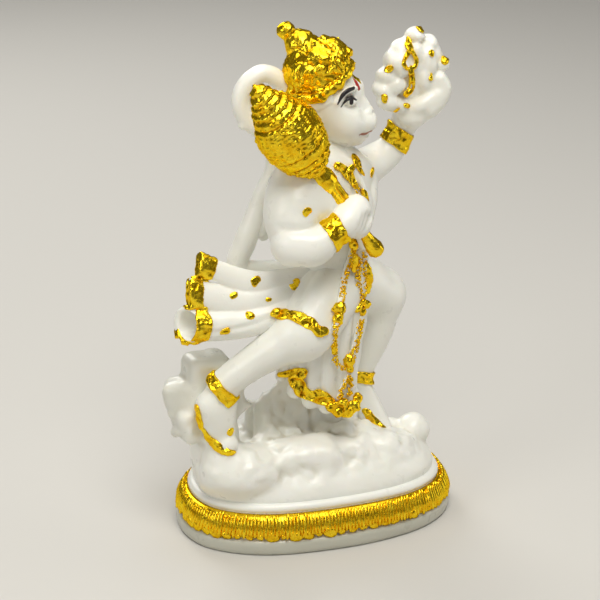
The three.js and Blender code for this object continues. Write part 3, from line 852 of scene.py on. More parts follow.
def mound():
    """The low hill on the plinth, with a sag where the hollow under the dhoti begins."""

    def shape(clay):
        long, wide = HALF_LENGTH - MOUND_FOOT, HALF_WIDTH - MOUND_FOOT
        cut, x, y, z = clay.window((-long - 2, -wide - 2, -3), (long + 2, wide + 2, MOUND_HEIGHT + 3))
        share = share_of_plan(x, y, long, wide)
        rise = np.maximum(1 - share**3, 0) ** 0.7
        sag = np.exp(-(((x + 4) / 13) ** 2) - ((y + 1) / 4.5) ** 2)
        height = MOUND_HEIGHT * rise - 3.6 * sag * rise
        return cut, np.maximum((z - height) * 0.7, (share - 1) * wide).astype(np.float32)

    return shape


print("the plinth's plan is", 2 * HALF_LENGTH, "by", 2 * HALF_WIDTH, "mm")


# %% Rocks
def scattered(count, seed, low, high, sizes, soft=0.8):
    """Stones of mixed size, turn and tilt, scattered in a box by a fixed draw."""
    draw = np.random.default_rng(seed)
    stones = []
    for _ in range(count):
        place = draw.uniform(low, high)
        size = draw.uniform(*sizes) * draw.uniform(0.6, 1.2, 3)
        stones.append(block(place, size, draw.uniform(0, 180), draw.uniform(-50, 50), soft))
    return stones


def model_rocks(clay):
    clay.add(ball((-4.4, 6.4, 13), (12.4, 6, 15)), 2)
    clay.add(ball((6.6, 6.8, 16), (8.4, 5.4, 14.5)), 2)
    clay.add(ball((-6, -9, 8.2), (15, 6, 5)), 2)
    clay.add(ball((14, -5.6, 4.6), (12, 8, 5.4)), 2)
    clay.add(mound(), 1.5)
    # the wall of rock behind the hollow, drawn up in ragged strands like melting wax
    draw = np.random.default_rng(17)
    for k in range(14):
        x = -14 + 1.9 * k
        top = 21 + 4 * math.sin(0.32 * k) + draw.uniform(-2, 2)
        strand = [(x + draw.uniform(-1, 1), 2.4, top, draw.uniform(0.8, 1.2))]
        strand.append((x + draw.uniform(-2, 2), 1, top - 6, draw.uniform(1.2, 1.9)))
        strand.append((x + draw.uniform(-3, 3), -1.6, 8, draw.uniform(1.4, 2.4)))
        clay.add(limb(strand), 1.8)
    for stone in scattered(26, 18, (-18, -5, 8), (12, 1, 11.5), (1.2, 2.4)):
        clay.add(stone, 0.9)
    for stone in scattered(26, 19, (-22, -12, 5.4), (18, -5.5, 8.8), (1.8, 3.4), 1.6):
        clay.add(stone, 2.4)
    for stone in scattered(16, 20, (8, -11, 3.6), (21, -1, 5.6), (1.6, 3.4), 1.6):
        clay.add(stone, 1.6)
    for stone in scattered(20, 23, (-24, 6, 3), (19, 12, 7), (2, 4), 1.6):
        clay.add(stone, 2)
    clay.add(ball((-22, -9.4, 6.6), (9.6, 7.6, 6.6)), 3)
    clear = np.clip((clay.axes[2] - 1) / 5, 0.12, 1)
    roughen(clay, 0.5, 2.9, 5, crag=0.5, where=clear)
    roughen(clay, 0.22, 1.5, 7, crag=0.7, where=clear)
    stack = [
        block((-28.9, -1.4, 30.2), (5.7, 4.4, 5.8), 8, -4, 2.4),
        block((-35.2, -1.4, 25.8), (4.4, 4, 4.2), -20, 12, 2.4),
        block((-32.6, -2, 19.4), (5, 4.4, 5), 14, 20, 2.4),
        block((-28, -2, 22.4), (6.4, 4.2, 7), 0, 0, 2.6),
        block((-21.9, -1.6, 24.6), (4.6, 3.6, 5.4), 10, 30, 2.2),
        block((-26.4, 0, 9), (5.4, 6, 9), 0, 0, 3),
    ]
    clay.add(group(*stack, blend=1.2), 1.5)
    clay.add(ball((27.8, 1.4, 5.7), (4.5, 4.5, 4.5)), 0.8)
    clay.add(limb([(-27.2, -9.6, 14.6, 3), (-27, -9.2, 10.4, 4.4), (-26, -8.4, 4, 6)]), 3.5)
    # daylight shows between the calf and the wall
    for x, z in ((-19.1, 26.6), (-16.2, 28.4), (-14.6, 30)):
        clay.carve(limb([(x, -9, z, 2.2), (x + 6.8, 12, z - 8.8, 2.4)]), 0.6)
    draw = np.random.default_rng(9)
    for _ in range(16):
        place = draw.uniform((-38, -6.4, 15.4), (-33, -2.6, 22))
        clay.add(ball(place, draw.uniform(0.9, 1.8, 3)), 0.5)
    roughen(clay, 0.25, 3.8, 6, crag=0.3, where=clear)
    roughen(clay, 0.1, 1.5, 8, where=clear)
    # the rim of the mound stays inside the plinth's lip
    x, y, z = clay.places()
    long, wide = HALF_LENGTH - LIP, HALF_WIDTH - LIP
    share = share_of_plan(x, y, long, wide)
    fence = (share - 1) * wide - 0.55 * np.maximum(z, 0)
    clay.field = -melt(-clay.field, -fence.astype(np.float32), 1.2)


# %% [markdown]
# ## Gold bands and brushed dots
# Hems, bracelets, anklets and the soles are raised a little on the casting and brushed with gold.
# Their shape isn't modelled again: a band is whatever skin of the body lies inside a region, lifted
# by half a millimetre and crumpled. Each band is fired from a small, fine block, so it stays crisp.

# %% Coating a region of the body
COAT_ROOT = 0.5  # how far a coat reaches under the skin that it lies on
COAT_ROOM = 1.2  # room left round a region in its block


def clay_block(low, high, grain, *models):
    """A block of clay with the models worked into it."""
    clay = Clay(low, high, grain)
    for model in models:
        model(clay)
    return clay


def coat(model, region, lift, grain=0.24, crumple=0.2, ragged=0.22):
    """The part of a model's skin inside the region, lifted and crumpled like foil."""
    low, high = region.box
    clay = clay_block(np.array(low) - COAT_ROOM, np.array(high) + COAT_ROOM, grain, model)
    cut, distance = region(clay)
    wide = np.full_like(clay.field, FAR)
    wide[cut] = distance
    crease = 1.6 * np.abs(wander(clay, 1.2, 31)) - 0.8
    over = clay.field - lift + crumple * (crease + 0.5 * wander(clay, 0.55, 33))
    edge = wide + ragged * wander(clay, 1.2, 32)
    under = -(clay.field + COAT_ROOT)
    clay.field = -melt(-np.maximum(over, under), -edge, 0.25)
    return clay


VIEWER = (-0.29, -0.88, 0.37)


def stroke(stations, deep=1.0):
    """A region along a line, as one brush stroke covers it; deep stretches it towards the viewer."""
    points = np.array(stations, float)
    reach = points[:, 3].max() + 0.6 + np.abs(VIEWER) * points[:, 3].max() * deep
    form = limb(stations, deep, VIEWER, spare=reach.max())
    form.box = points[:, :3].min(0) - reach, points[:, :3].max(0) + reach
    return form


def ring(centre, way, radius, width):
    """A region round a limb: a slab of the given width across the limb's direction."""
    normal = unit(way)

    def shape(clay):
        cut, x, y, z = clay.window(np.array(centre) - radius - 2, np.array(centre) + radius + 2)
        dx, dy, dz = x - centre[0], y - centre[1], z - centre[2]
        along = dx * normal[0] + dy * normal[1] + dz * normal[2]
        out = np.sqrt(np.maximum(dx * dx + dy * dy + dz * dz - along * along, 0))
        return cut, np.maximum(np.abs(along) - width / 2, out - radius).astype(np.float32)

    shape.box = np.array(centre) - radius, np.array(centre) + radius
    return shape


def dot(place, size=1.0, stretch=1.0, slope=0.0):
    """A dab of paint, drawn out along a slope."""
    c, s = turned_by(slope)
    half = size * (stretch - 1) + 0.05
    ends = [(place[0] + way * half * c, place[1], place[2] + way * half * s, size) for way in (-1, 1)]
    return stroke(ends, 2.4)


# %% Bracelets, anklets and soles
def dots(model, *dabs, lift=0.28):
    """Coats for dabs of paint, as (model, region, lift, grain, crumple, ragged)."""
    return [(model, dot(*dab), lift, 0.2, 0.16, 0.3) for dab in dabs]


trims = {
    "arm_bands": [
        (model_torso, ring((-0.8, -17.7, 70.5), (0.88, 0.02, 0.47), 4.3, 4.5), 0.5),
        (model_torso, ring((25.3, 10.2, 83.6), (0.56, -0.05, 0.83), 5, 4.8), 0.5),
        *dots(model_torso, ((-8, -18.4, 76.8), 1.1, 1.2, 40)),
    ]
}
knee_hem = ring((-8.1, -13.8, 43.1), (-0.67, -0.58, -0.46), 9, 2.7)
sole = [(-33.4, -9.6, 25.4, 0.7), (-33, -10.4, 21, 1), (-31.4, -11, 17.6, 1.1)]
sole += [(-28.6, -11.6, 14.6, 1.2), (-25, -12, 13, 0.9)]
trims["leg_bands"] = [
    # the hem of the dhoti above the near knee is open underneath
    (model_legs, cut_off(knee_hem, (0, 0, 50.9), (0, 0.3, -1)), 0.65),
    (model_legs, ring((-27.5, -9.4, 30.3), (-5.6, 1.5, -5.2), 5.6, 3.2), 0.5),
    (model_legs, ring((13.9, 5.6, 21.3), (-2.4, -1.4, -10), 5, 3.2), 0.55),
    (model_legs, stroke(sole, 3), 0.4),
    (model_legs, stroke([(13.9, 0, 13.4, 0.8), (15.8, -1, 10.8, 1.3), (18, -2, 8.6, 1.3)], 4), 0.4),
    *dots(model_legs, ((-25.5, -11.8, 18.7), 0.7, 1.4, 60)),
]


def model_knot(clay):
    """The small knot that ties the hem above the near knee."""
    clay.add(ball((-13.9, -12.6, 49.4), (1.5, 1.2, 1.1), 0, 20))
    roughen(clay, 0.14, 0.9, 40, crag=0.7)


print("arms and legs have", sum(len(entries) for entries in trims.values()), "coats of gold and a knot")


# %% Hem, shawl, mountain and neck
def strokes(model, lift, crumple, *lines):
    """Coats along painted lines."""
    return [(model, stroke(line, 4), lift, 0.22, crumple) for line in lines]


# the hem runs in a zigzag, from a pointed corner back under itself and on to the tassel
corner = [(-11.8, -9, 31.1, 0.5), (-9.4, -9.6, 31.4, 1.1), (-6.8, -9.8, 31.3, 1.5)]
back = [(-6.6, -9.8, 31.4, 1.1), (-8.2, -10, 29.6, 1.5), (-7, -10.2, 27.6, 1.8)]
on = [(-7, -10.4, 27.2, 1.8), (-4.8, -11, 25.4, 1.4), (-2.6, -11.2, 24.8, 1.9), (0.4, -11.4, 23.2, 1.5)]
trims["dhoti_hem"] = strokes(model_dhoti, 0.6, 0.35, corner) + strokes(model_dhoti, 0.8, 0.38, back, on)

rim_of_roll = cut_off(ring((-33.4, -9.4, 47.4), (-1, -0.5, 0.2), 6.4, 4), (0, 0, 51.8), (0, 0, 1))
rim_of_roll = cut_off(rim_of_roll, (-36.6, 0, 46), (-1, 0, 0.7))
inside_of_roll = limb([(x, y, z, r + 0.45) for x, y, z, r in ROLL], 0.85, TOWARDS)
trims["shawl_gold"] = [
    (model_shawl, ring((-29.6, -6.2, 61), (-1, -0.1, 0.45), 3.6, 4.6), 0.35),
    (model_shawl, ring((-33, -7.4, 55.2), (-1, 0, 0.1), 4.2, 4.2), 0.35),
    (model_shawl, spared(rim_of_roll, inside_of_roll), 0.35),
    *dots(
        model_shawl,
        ((-18.1, -9.9, 57.2), 1.3, 1.3, 30),
        ((-8.4, -10.6, 55.2), 1.4, 1.2, 60),
        ((-23.8, -10.3, 54.4), 1, 1.3, 10),
        ((-15.4, -11.5, 52.8), 1.1, 1.2, 20),
        ((-20.4, -11.4, 48.9), 0.95, 1.2, -20),
        ((-27, -12.2, 45.8), 0.9, 1.8, 10),
        ((-8.8, -12.4, 47), 0.8, 1.6, 50),
    ),
]

# a flame with an open heart on a long stem, among dabs on the boulders
flame_left = [(24.8, 2, 110.6, 0.35), (25.3, 2, 108.4, 0.75), (24.1, 2, 106.4, 0.55)]
flame_left += [(23.6, 2, 104.6, 0.6), (24.5, 2, 103.3, 0.6)]
flame_right = [(25.3, 2, 108.4, 0.75), (26.5, 2, 106.4, 0.55), (26.9, 2, 104.5, 0.6)]
flame_right += [(26, 2, 103.3, 0.6), (24.5, 2, 103.3, 0.6)]
stem = [(25.4, 2, 103.2, 0.8), (25.9, 2, 100.6, 0.85), (25.8, 2, 98.4, 0.9), (24.4, 2, 96.6, 0.7)]
trims["mountain_gold"] = [
    *dots(
        model_mountain,
        ((29, 5, 112.3), 0.9, 1.2, -20),
        ((35.2, 4, 104.1), 1, 1.1, 70),
        ((31, 2, 106.5), 0.7, 1.1, 60),
        ((31, 2, 100.8), 0.45, 2, 75),
        ((20.3, 3.5, 103.2), 0.8, 1.4, 10),
        ((19.1, 3, 95.9), 0.9, 1.2, 70),
        ((24.7, 2.5, 93.7), 0.7, 1.5, -10),
        ((22.7, 3, 92.9), 0.65, 1.6, 30),
        lift=0.4,
    ),
    (model_mountain, stroke(flame_left, 9), 0.6, 0.2, 0.3, 0.14),
    (model_mountain, stroke(flame_right, 9), 0.6, 0.2, 0.3, 0.14),
    (model_mountain, stroke(stem, 7), 0.6, 0.2, 0.3, 0.14),
]

chain = [(2.7, -9, 84, 0.9), (4.6, -9.5, 82.7, 1.1), (6.2, -9.5, 80.6, 1.1), (7.6, -9.3, 77.6, 0.8)]
collar = [(7.9, -8, 84.9, 0.7), (9.2, -7.8, 82.9, 1.3), (10.6, -7.5, 80.8, 0.7)]
pendant = [(9.3, -8.5, 77.4, 0.35), (10.3, -8.5, 75.4, 0.7), (10.7, -8.5, 74, 0.4)]
trims["neck_gold"] = [
    *strokes(model_torso, 0.7, 0.35, chain),
    *strokes(model_torso, 0.6, 0.3, [(6.6, -9, 83.2, 0.7), (5.4, -9.4, 81.8, 0.8)]),
    *strokes(model_torso, 0.5, 0.3, collar),
    *dots(model_torso, ((14.7, -1, 78.8), 0.7, 1.3, 80)),
    *strokes(model_torso, 0.4, 0.25, pendant),
]
print("gold coats:", {name: len(entries) for name, entries in trims.items()})


# %% [markdown]
# ## The plinth and its gold moulding
# The plinth is one profile carried round the oblong plan, so rings of points give it exactly.
# The moulding on it is a bulging band, ribbed all round like a basket, over a row of petals.
# Ribs and petals repeat along a path, which is what Geometry Nodes do best: one tree strings any
# number of rounded bars on a curve, leans them against the band and crumples them a little.

# %% Rings round the plinth's plan
RING_POINTS = 240
BAND_FOOT = 4.0
BAND_TOP = 10.3
BAND_DROP = 1.6


def oblong(inset, count):
    """Points round the plan, drawn in from its edge by the inset."""
    angle = np.linspace(0, 2 * np.pi, count, endpoint=False)
    c, s = np.cos(angle), np.sin(angle)
    power = 2 / SQUARENESS
    x = np.sign(c) * np.abs(c) ** power * (HALF_LENGTH - inset)
    y = np.sign(s) * np.abs(s) ** power * (HALF_WIDTH - inset)
    return x, y


def sunk(x, z):
    """Heights above the rim sink a little towards the far end."""
    share = np.clip((z - BAND_FOOT) / (BAND_TOP - BAND_FOOT), 0, 1)
    return z - BAND_DROP * share * np.maximum(0, x / HALF_LENGTH) ** 2


def rings(name, profile, closed):
    """Faces between rings of the plan; closed joins the last to the first, else both ends get caps."""
    points = []
    for inset, z in profile:
        x, y = oblong(inset, RING_POINTS)
        wave = 0.1 * np.sin(x / 3.1 + 0.8 * z) + 0.07 * np.cos(y / 1.9 - x / 5.3)
        height = sunk(x, z) + 0.04 * wave * (z > 0)
        points.append(np.stack([x * (1 + wave / 60), y * (1 + wave / 40), height], 1))
    count = len(points)
    faces = []
    for k in range(count if closed else count - 1):
        a, b = k * RING_POINTS, (k + 1) % count * RING_POINTS
        for i in range(RING_POINTS):
            j = (i + 1) % RING_POINTS
            faces.append((a + i, a + j, b + j, b + i))
    if not closed:
        faces.append(tuple(reversed(range(RING_POINTS))))
        faces.append(tuple(range((count - 1) * RING_POINTS, count * RING_POINTS)))
    mesh = bpy.data.meshes.new(name)
    mesh.from_pydata([tuple(p) for p in np.concatenate(points) * MM], [], faces)
    return shown(mesh)


plinth_profile = [(1.1, 0), (0.5, 0.1), (0.12, 0.5), (0, 1.2), (0, 2.6), (0.15, 3.3), (0.55, 3.8), (1.2, 4.0)]
plinth_profile += [(1.6, 4.4), (1.6, 6), (1.9, 8), (2.8, 9.8), (3.3, 10.3), (3.1, 10.6), (2.9, 11)]
plinth_profile += [(2.95, 11.5), (3.2, 12), (3.7, 12.35), (4.5, 12.5), (5.6, 12.6), (8, 12.6)]
plinth = rings("plinth", plinth_profile, closed=False)
core_profile = [(1.5, 4.3), (0.75, 4.7), (0.38, 5.6), (0.4, 6.8), (0.66, 8.2), (1.45, 9.4)]
core_profile += [(2.4, 10.1), (3.1, 10.2), (3.2, 9), (2.6, 6)]
core = rings("band_core", core_profile, closed=True)
print("plinth", len(plinth.data.polygons), "faces, band core", len(core.data.polygons), "faces")


# %% A small kit for node trees
def geometry_tree(name, **numbers):
    """A Geometry Nodes tree with a geometry in and out and named number inputs."""
    tree = bpy.data.node_groups.new(name, "GeometryNodeTree")
    tree.interface.new_socket("Geometry", in_out="INPUT", socket_type="NodeSocketGeometry")
    for label, value in numbers.items():
        kind = "NodeSocketInt" if isinstance(value, int) else "NodeSocketFloat"
        tree.interface.new_socket(label, in_out="INPUT", socket_type=kind).default_value = value
    tree.interface.new_socket("Material", in_out="INPUT", socket_type="NodeSocketMaterial")
    tree.interface.new_socket("Geometry", in_out="OUTPUT", socket_type="NodeSocketGeometry")
    return tree


def put(tree, kind, links=(), out=0, **settings):
    """Adds a node and gives one of its outputs; links are {input: socket or value}."""
    node = tree.nodes.new(kind)
    for key, value in settings.items():
        setattr(node, key, value)
    for key, source in dict(links).items():
        socket = node.inputs[key]
        if isinstance(source, bpy.types.NodeSocket):
            tree.links.new(source, socket)
        else:
            socket.default_value = source
    return node.outputs[out]


def calc(tree, operation, *values):
    return put(tree, "ShaderNodeMath", dict(enumerate(values)), operation=operation)


def grown(name, points, edges, tree, **values):
    """Runs a tree on a wire of points and edges and returns the result as a plain mesh object."""
    wire = bpy.data.meshes.new(name)
    wire.from_pydata([tuple(p) for p in points], edges, [])
    carrier = bpy.data.objects.new(name, wire)
    bpy.context.scene.collection.objects.link(carrier)
    modifier = carrier.modifiers.new("grow", "NODES")
    modifier.node_group = tree
    for item in tree.interface.items_tree:
        if item.item_type == "SOCKET" and item.in_out == "INPUT" and item.name in values:
            modifier[item.identifier] = values[item.name]
    # new_from_object gives a plain mesh, and only then is the modifier taken off
    evaluated = carrier.evaluated_get(bpy.context.evaluated_depsgraph_get())
    mesh = bpy.data.meshes.new_from_object(evaluated)
    carrier.modifiers.clear()
    carrier.data = mesh
    mesh.name = name
    bpy.data.meshes.remove(wire)
    mesh.shade_smooth()
    print(name, "has", len(mesh.polygons), "faces")
    return carrier


# %% How both trees begin and end
def spots_on_path(tree):
    """The tree's inputs, and points spaced evenly along the wire that it is given."""
    given = tree.nodes.new("NodeGroupInput").outputs
    path = put(tree, "GeometryNodeMeshToCurve", {"Mesh": given["Geometry"]})
    spots = put(tree, "GeometryNodeResampleCurve", {"Curve": path, "Count": given["Count"]})
    return given, spots


def complete(tree, given, strung, amount, scale):
    """Makes the instances real, crumples them along their normals by fine noise, and dresses them."""
    real = put(tree, "GeometryNodeRealizeInstances", {"Geometry": strung})
    noise = put(tree, "ShaderNodeTexNoise", {"Scale": scale, "Detail": 2.0})
    centred = calc(tree, "SUBTRACT", noise, 0.5)
    size = calc(tree, "MULTIPLY", centred, amount)
    normal = put(tree, "GeometryNodeInputNormal")
    push = put(tree, "ShaderNodeVectorMath", {0: normal, "Scale": size}, operation="SCALE")
    pressed = put(tree, "GeometryNodeSetPosition", {"Geometry": real, "Offset": push})
    dress = {"Geometry": pressed, "Material": given["Material"]}
    dressed = put(tree, "GeometryNodeSetMaterial", dress)
    tree.links.new(dressed, tree.nodes.new("NodeGroupOutput").inputs[0])
    print("tree", tree.name, "has", len(tree.nodes), "nodes")


# %% The tree that strings rounded bars along a path
bars = geometry_tree(
    "bars along a path",
    Count=100,
    Width=0.001,
    Depth=0.001,
    Height=0.001,
    Lean=0.35,
    Slant=0.0,
    Crumple=0.0003,
    Smallest=0.72,
    Seed=3,
)
given, spots = spots_on_path(bars)
tangent = put(bars, "GeometryNodeInputTangent")
upright = {"axis": "X", "pivot_axis": "Z"}
along = put(bars, "FunctionNodeAlignRotationToVector", {"Vector": tangent}, **upright)
lean = put(bars, "ShaderNodeCombineXYZ", {"X": given["Lean"], "Y": given["Slant"]})
leaning = {"Rotation": along, "Rotate By": lean}
turn = put(bars, "FunctionNodeRotateRotation", leaning, rotation_space="LOCAL")
sides = {"X": given["Width"], "Y": given["Depth"], "Z": given["Height"]}
sizes = put(bars, "ShaderNodeCombineXYZ", sides)
odds = {2: given["Smallest"], 3: 1.2, "Seed": given["Seed"]}
chance = put(bars, "FunctionNodeRandomValue", odds, out=1, data_type="FLOAT")
varied = put(bars, "ShaderNodeVectorMath", {0: sizes, "Scale": chance}, operation="SCALE")
bar = put(bars, "GeometryNodeMeshUVSphere", {"Segments": 8, "Rings": 8, "Radius": 1.0})
places = {"Points": spots, "Instance": bar, "Rotation": turn, "Scale": varied}
strung = put(bars, "GeometryNodeInstanceOnPoints", places)
complete(bars, given, strung, given["Crumple"], 900.0)

# %% Gold and resin, made before the pieces that need them
resin = bpy.data.materials.new("white_resin")
gold = bpy.data.materials.new("gold_paint")

# %% Ribs and petals round the band
WIRE_POINTS = 720


def plan_wire(inset, z):
    """A closed wire round the plan at one height, as points and edges."""
    x, y = oblong(inset, WIRE_POINTS)
    points = np.stack([x, y, sunk(x, np.full_like(x, z))], 1) * MM
    return points, [(i, (i + 1) % WIRE_POINTS) for i in range(WIRE_POINTS)]


ribs = grown(
    "band_ribs",
    *plan_wire(0.95, 7.6),
    bars,
    Count=210,
    Width=0.00056,
    Depth=0.00072,
    Height=0.0028,
    Lean=-0.36,
    Slant=0.06,
    Crumple=0.00016,
    Smallest=0.82,
    Material=gold,
)
petals = grown(
    "band_petals",
    *plan_wire(0.55, 4.9),
    bars,
    Count=64,
    Width=0.0018,
    Depth=0.0006,
    Height=0.0013,
    Lean=0.2,
    Slant=0.3,
    Crumple=0.0013,
    Smallest=0.45,
    Material=gold,
)

# %% [markdown]
# ## Garland
# A long garland hangs from the neck over the near thigh to the hem. It is a cord of fine grains with
# small flowers and a tassel. The grains are beads strung by a second tree, scattered a little off the
# path, on a white cord that was cast with the body, so the gaps between the grains stay white.

# %% The tree that scatters grains along a path
grains = geometry_tree("grains along a path", Count=60, Grain=0.0005, Scatter=0.0004, Seed=5)
given, spots = spots_on_path(grains)
scatter = given["Scatter"]
less = calc(grains, "MULTIPLY", scatter, -1.0)
low_corner = put(grains, "ShaderNodeCombineXYZ", {"X": less, "Y": less, "Z": less})
high_corner = put(grains, "ShaderNodeCombineXYZ", {"X": scatter, "Y": scatter, "Z": scatter})
odds = {0: low_corner, 1: high_corner, "Seed": given["Seed"]}
stray = put(grains, "FunctionNodeRandomValue", odds, data_type="FLOAT_VECTOR")
strewn = put(grains, "GeometryNodeSetPosition", {"Geometry": spots, "Offset": stray})
odds = {2: 0.55, 3: 1.25, "Seed": given["Seed"]}
chance = put(grains, "FunctionNodeRandomValue", odds, out=1, data_type="FLOAT")
size = calc(grains, "MULTIPLY", given["Grain"], chance)
grain = put(grains, "GeometryNodeMeshIcoSphere", {"Radius": 1.0, "Subdivisions": 1})
places = {"Points": strewn, "Instance": grain, "Scale": size}
strung = put(grains, "GeometryNodeInstanceOnPoints", places)
complete(grains, given, strung, 0.0002, 1500.0)

# %% Strands, flowers and tassel
left = [(6.4, -10.6, 63), (5.8, -10.4, 60.4), (4.6, -10.8, 57.4), (2.9, -13.4, 54.4), (1.4, -15.9, 51.6)]
thigh = [(-0.2, -18.4, 47.8), (-0.9, -18.6, 46.2), (-0.2, -15.4, 42), (0.9, -12.7, 37.6), (1.2, -12.6, 34.8)]
# each strand has its stations, the cord's radius and a number that its count of grains follows
STRANDS = {
    "left": (left, 0.9, 60),
    "left_thigh": (thigh, 0.9, 46),
    "left_low": ([(1.2, -12.6, 34.8), (2.4, -12.5, 33), (4.2, -12, 31.8)], 0.5, 14),
    "middle": ([(8.2, -9.8, 61), (7.8, -10, 57), (7.9, -10, 53.6), (8.8, -9.2, 49.6)], 0.9, 50),
    "right": ([(9.6, -9.4, 61), (9.6, -9.3, 57.6), (9.8, -9, 53), (10, -8.4, 49)], 0.8, 44),
    "right_low": ([(9.2, -9.2, 43.8), (8.1, -10.2, 40.4), (7, -10.9, 37), (6.2, -11.3, 34.8)], 0.9, 46),
    "tassel_left": ([(5.6, -11, 29.8), (3.6, -12, 27.2), (2.4, -12.1, 24)], 0.6, 26),
    "tassel_right": ([(5.8, -11, 29.4), (6, -10.7, 26.6), (5.6, -10.9, 24)], 0.6, 22),
}
print("the garland has", len(STRANDS), "strands")


def model_cord(clay):
    for stations, radius, _ in STRANDS.values():
        clay.add(limb([(*p, radius) for p in stations], 0.8), 0.6)
    clay.add(limb([(8.8, -9.2, 60, 1.6), (8.6, -9.4, 54, 1.5), (9.2, -8.8, 49, 1.2)], 0.6), 0.8)


def model_flowers(clay):
    buds = [
        # over the near thigh: two lumps, one above the other
        ((0.9, -17.2, 50.6), (1.7, 1.4, 1.6)),
        ((0.1, -18.2, 48.2), (1.4, 1.3, 1.7)),
        # on the right strand: four petals
        ((9.4, -9, 48.2), (1.2, 1.1, 1.2)),
        ((8.1, -9.4, 46.8), (1.2, 1.1, 1.2)),
        ((10.8, -8.6, 46.9), (1.2, 1.1, 1.2)),
        ((9.6, -9.2, 45.3), (1.1, 1, 1.2)),
        # where both strands join
        ((5.3, -11.6, 33.6), (1.6, 1.3, 2)),
        ((5.7, -11.4, 31.4), (1, 1, 1.3)),
        # tassel
        ((0.7, -12.3, 22), (1.7, 1.3, 1.6)),
        ((2.3, -12.6, 20.6), (1.6, 1.4, 1.5)),
        ((4.4, -12.5, 20.4), (1.9, 1.5, 1.8)),
        ((3.4, -12.6, 22.8), (1.4, 1.2, 1.4)),
        ((6.6, -11.9, 21.2), (1.7, 1.5, 1.7)),
        ((8, -11, 22.8), (1.3, 1.2, 1.4)),
        # at the top of the left strand
        ((6.5, -10.8, 64), (1.2, 1, 1.7)),
    ]
    for place, sizes in buds:
        clay.add(ball(place, sizes), 0.25)
    clay.add(limb([(10.8, -9, 57.2, 0.9), (11.2, -8.9, 53.6, 1.3), (11, -8.6, 50.4, 0.9)], 0.55), 0.2)
    clay.add(limb([(6.9, -10.9, 61, 0.8), (6.7, -10.9, 59, 0.9), (6.6, -10.8, 57, 0.6)], 0.7), 0.2)
    clay.add(limb([(-0.8, -19, 46.6, 0.7), (-0.2, -15.8, 42, 0.9), (1, -13.3, 37, 0.8)], 0.7), 0.2)
    roughen(clay, 0.22, 0.9, 45, crag=0.6)
    roughen(clay, 0.1, 0.5, 46)


# %% [markdown]
# ## Face paint
# Brow, lashes and iris are thin black strokes, the tilak on the forehead is gold between red lines
# and the lips are faintly pink. Each is a coat less than a tenth of a millimetre thick on the skin,
# so a stroke is drawn in the side view and pushed onto the head from both sides.

# %% Strokes in the side view of the head
def side_stroke(stations, near, far):
    """A region drawn as a line of (ahead, up, half width), between two distances aside."""
    points = np.array(stations, float)
    run = course([(a, 0, u, w) for a, u, w in points], 0.3)
    back, low, _ = points.min(0) - 1
    front, high, _ = points.max(0) + 1
    corners = [of_head(a, s, u) for a in (back, front) for s in (near, far) for u in (low, high)]

    def shape(clay):
        low, high = shape.box
        cut, x, y, z = clay.window(low, high)
        c, s = turned_by(HEAD_TURN)
        dx, dy = x - SKULL[0], y - SKULL[1]
        ahead = c * dx + s * dy + 0 * z
        aside = s * dx - c * dy + 0 * z
        up = z - SKULL[2] + 0 * x + 0 * y
        best = np.full(ahead.shape, FAR, np.float32)
        for a, b in zip(run[:-1], run[1:]):
            da, du = b[0] - a[0], b[2] - a[2]
            length = math.hypot(da, du) + 1e-9
            t = np.clip(((ahead - a[0]) * da + (up - a[2]) * du) / length**2, 0, 1)
            d = np.hypot(ahead - a[0] - t * da, up - a[2] - t * du) - (a[3] + t * (b[3] - a[3]))
            best = np.minimum(best, d)
        middle, half = (near + far) / 2, abs(far - near) / 2
        return cut, np.maximum(best, np.abs(aside - middle) - half).astype(np.float32)

    shape.box = np.min(corners, 0), np.max(corners, 0)
    return shape


def both_sides(stations, near, far):
    """The same stroke on the near and on the far side of the head."""
    return [side_stroke(stations, near, far), side_stroke(stations, -near, -far)]


face_marks = {
    "face_black": both_sides([(2.6, 1, 0.25), (3.6, 2.9, 0.5), (4.8, 4, 0.55), (6.4, 4.3, 0.4)], 3, 9)
    + both_sides([(3.4, 0.2, 0.25), (4.6, 1.5, 0.42), (6, 2, 0.42), (7.2, 1.3, 0.2)], 3, 9)
    + both_sides([(5.9, 1.5, 0.6), (5.9, 0.8, 0.55)], 3, 9),
    "tilak_red": both_sides([(6.2, 6.6, 0.35), (7.8, 3.2, 0.4)], 1.3, 2.8),
    "tilak_gold": [side_stroke([(6.6, 6.8, 0.7), (7.4, 4, 1)], -1.3, 1.3)],
    "lip_paint": both_sides([(10.8, -7.2, 0.4), (9.4, -7.8, 0.5), (8, -7.5, 0.3)], 0, 5),
}
print("strokes of face paint:", {name: len(regions) for name, regions in face_marks.items()})

# %% [markdown]
# ## Finishes
# The resin is white and slightly warm, with a soft gloss, and light sinks a millimetre or two into it.
# The gold is brushed metal paint with creases like foil, yellow on the ridges and darkened to orange-brown in
# the hollows by painted shade.
# How deep a point lies in a hollow was measured when the clay was fired, and both finishes darken their
# hollows by it as painted shade.

# %% White resin
def bump_of(tree, height, distance, **over):
    return put(tree, "ShaderNodeBump", {"Height": height, "Distance": distance, **over})


def noise_of(tree, scale, detail=2.0, roughness=0.5):
    place = put(tree, "ShaderNodeTexCoord", out="Object")
    values = {"Vector": place, "Scale": scale, "Detail": detail, "Roughness": roughness}
    return put(tree, "ShaderNodeTexNoise", values)


def blended(tree, share, first, second):
    return put(tree, "ShaderNodeMix", {0: share, 6: first, 7: second}, out=2, data_type="RGBA")


def spread(tree, value, low, high, to_low=0.0, to_high=1.0):
    """Carries a value from one range to another, held at both ends."""
    return put(tree, "ShaderNodeMapRange", {0: value, 1: low, 2: high, 3: to_low, 4: to_high})


def hollow_of(tree, shallow, deep):
    """How far a point lies in a hollow, from 0 on ridges to 1 in creases."""
    depth = put(tree, "ShaderNodeAttribute", out="Fac", attribute_name="hollow")
    return spread(tree, depth, shallow, deep)


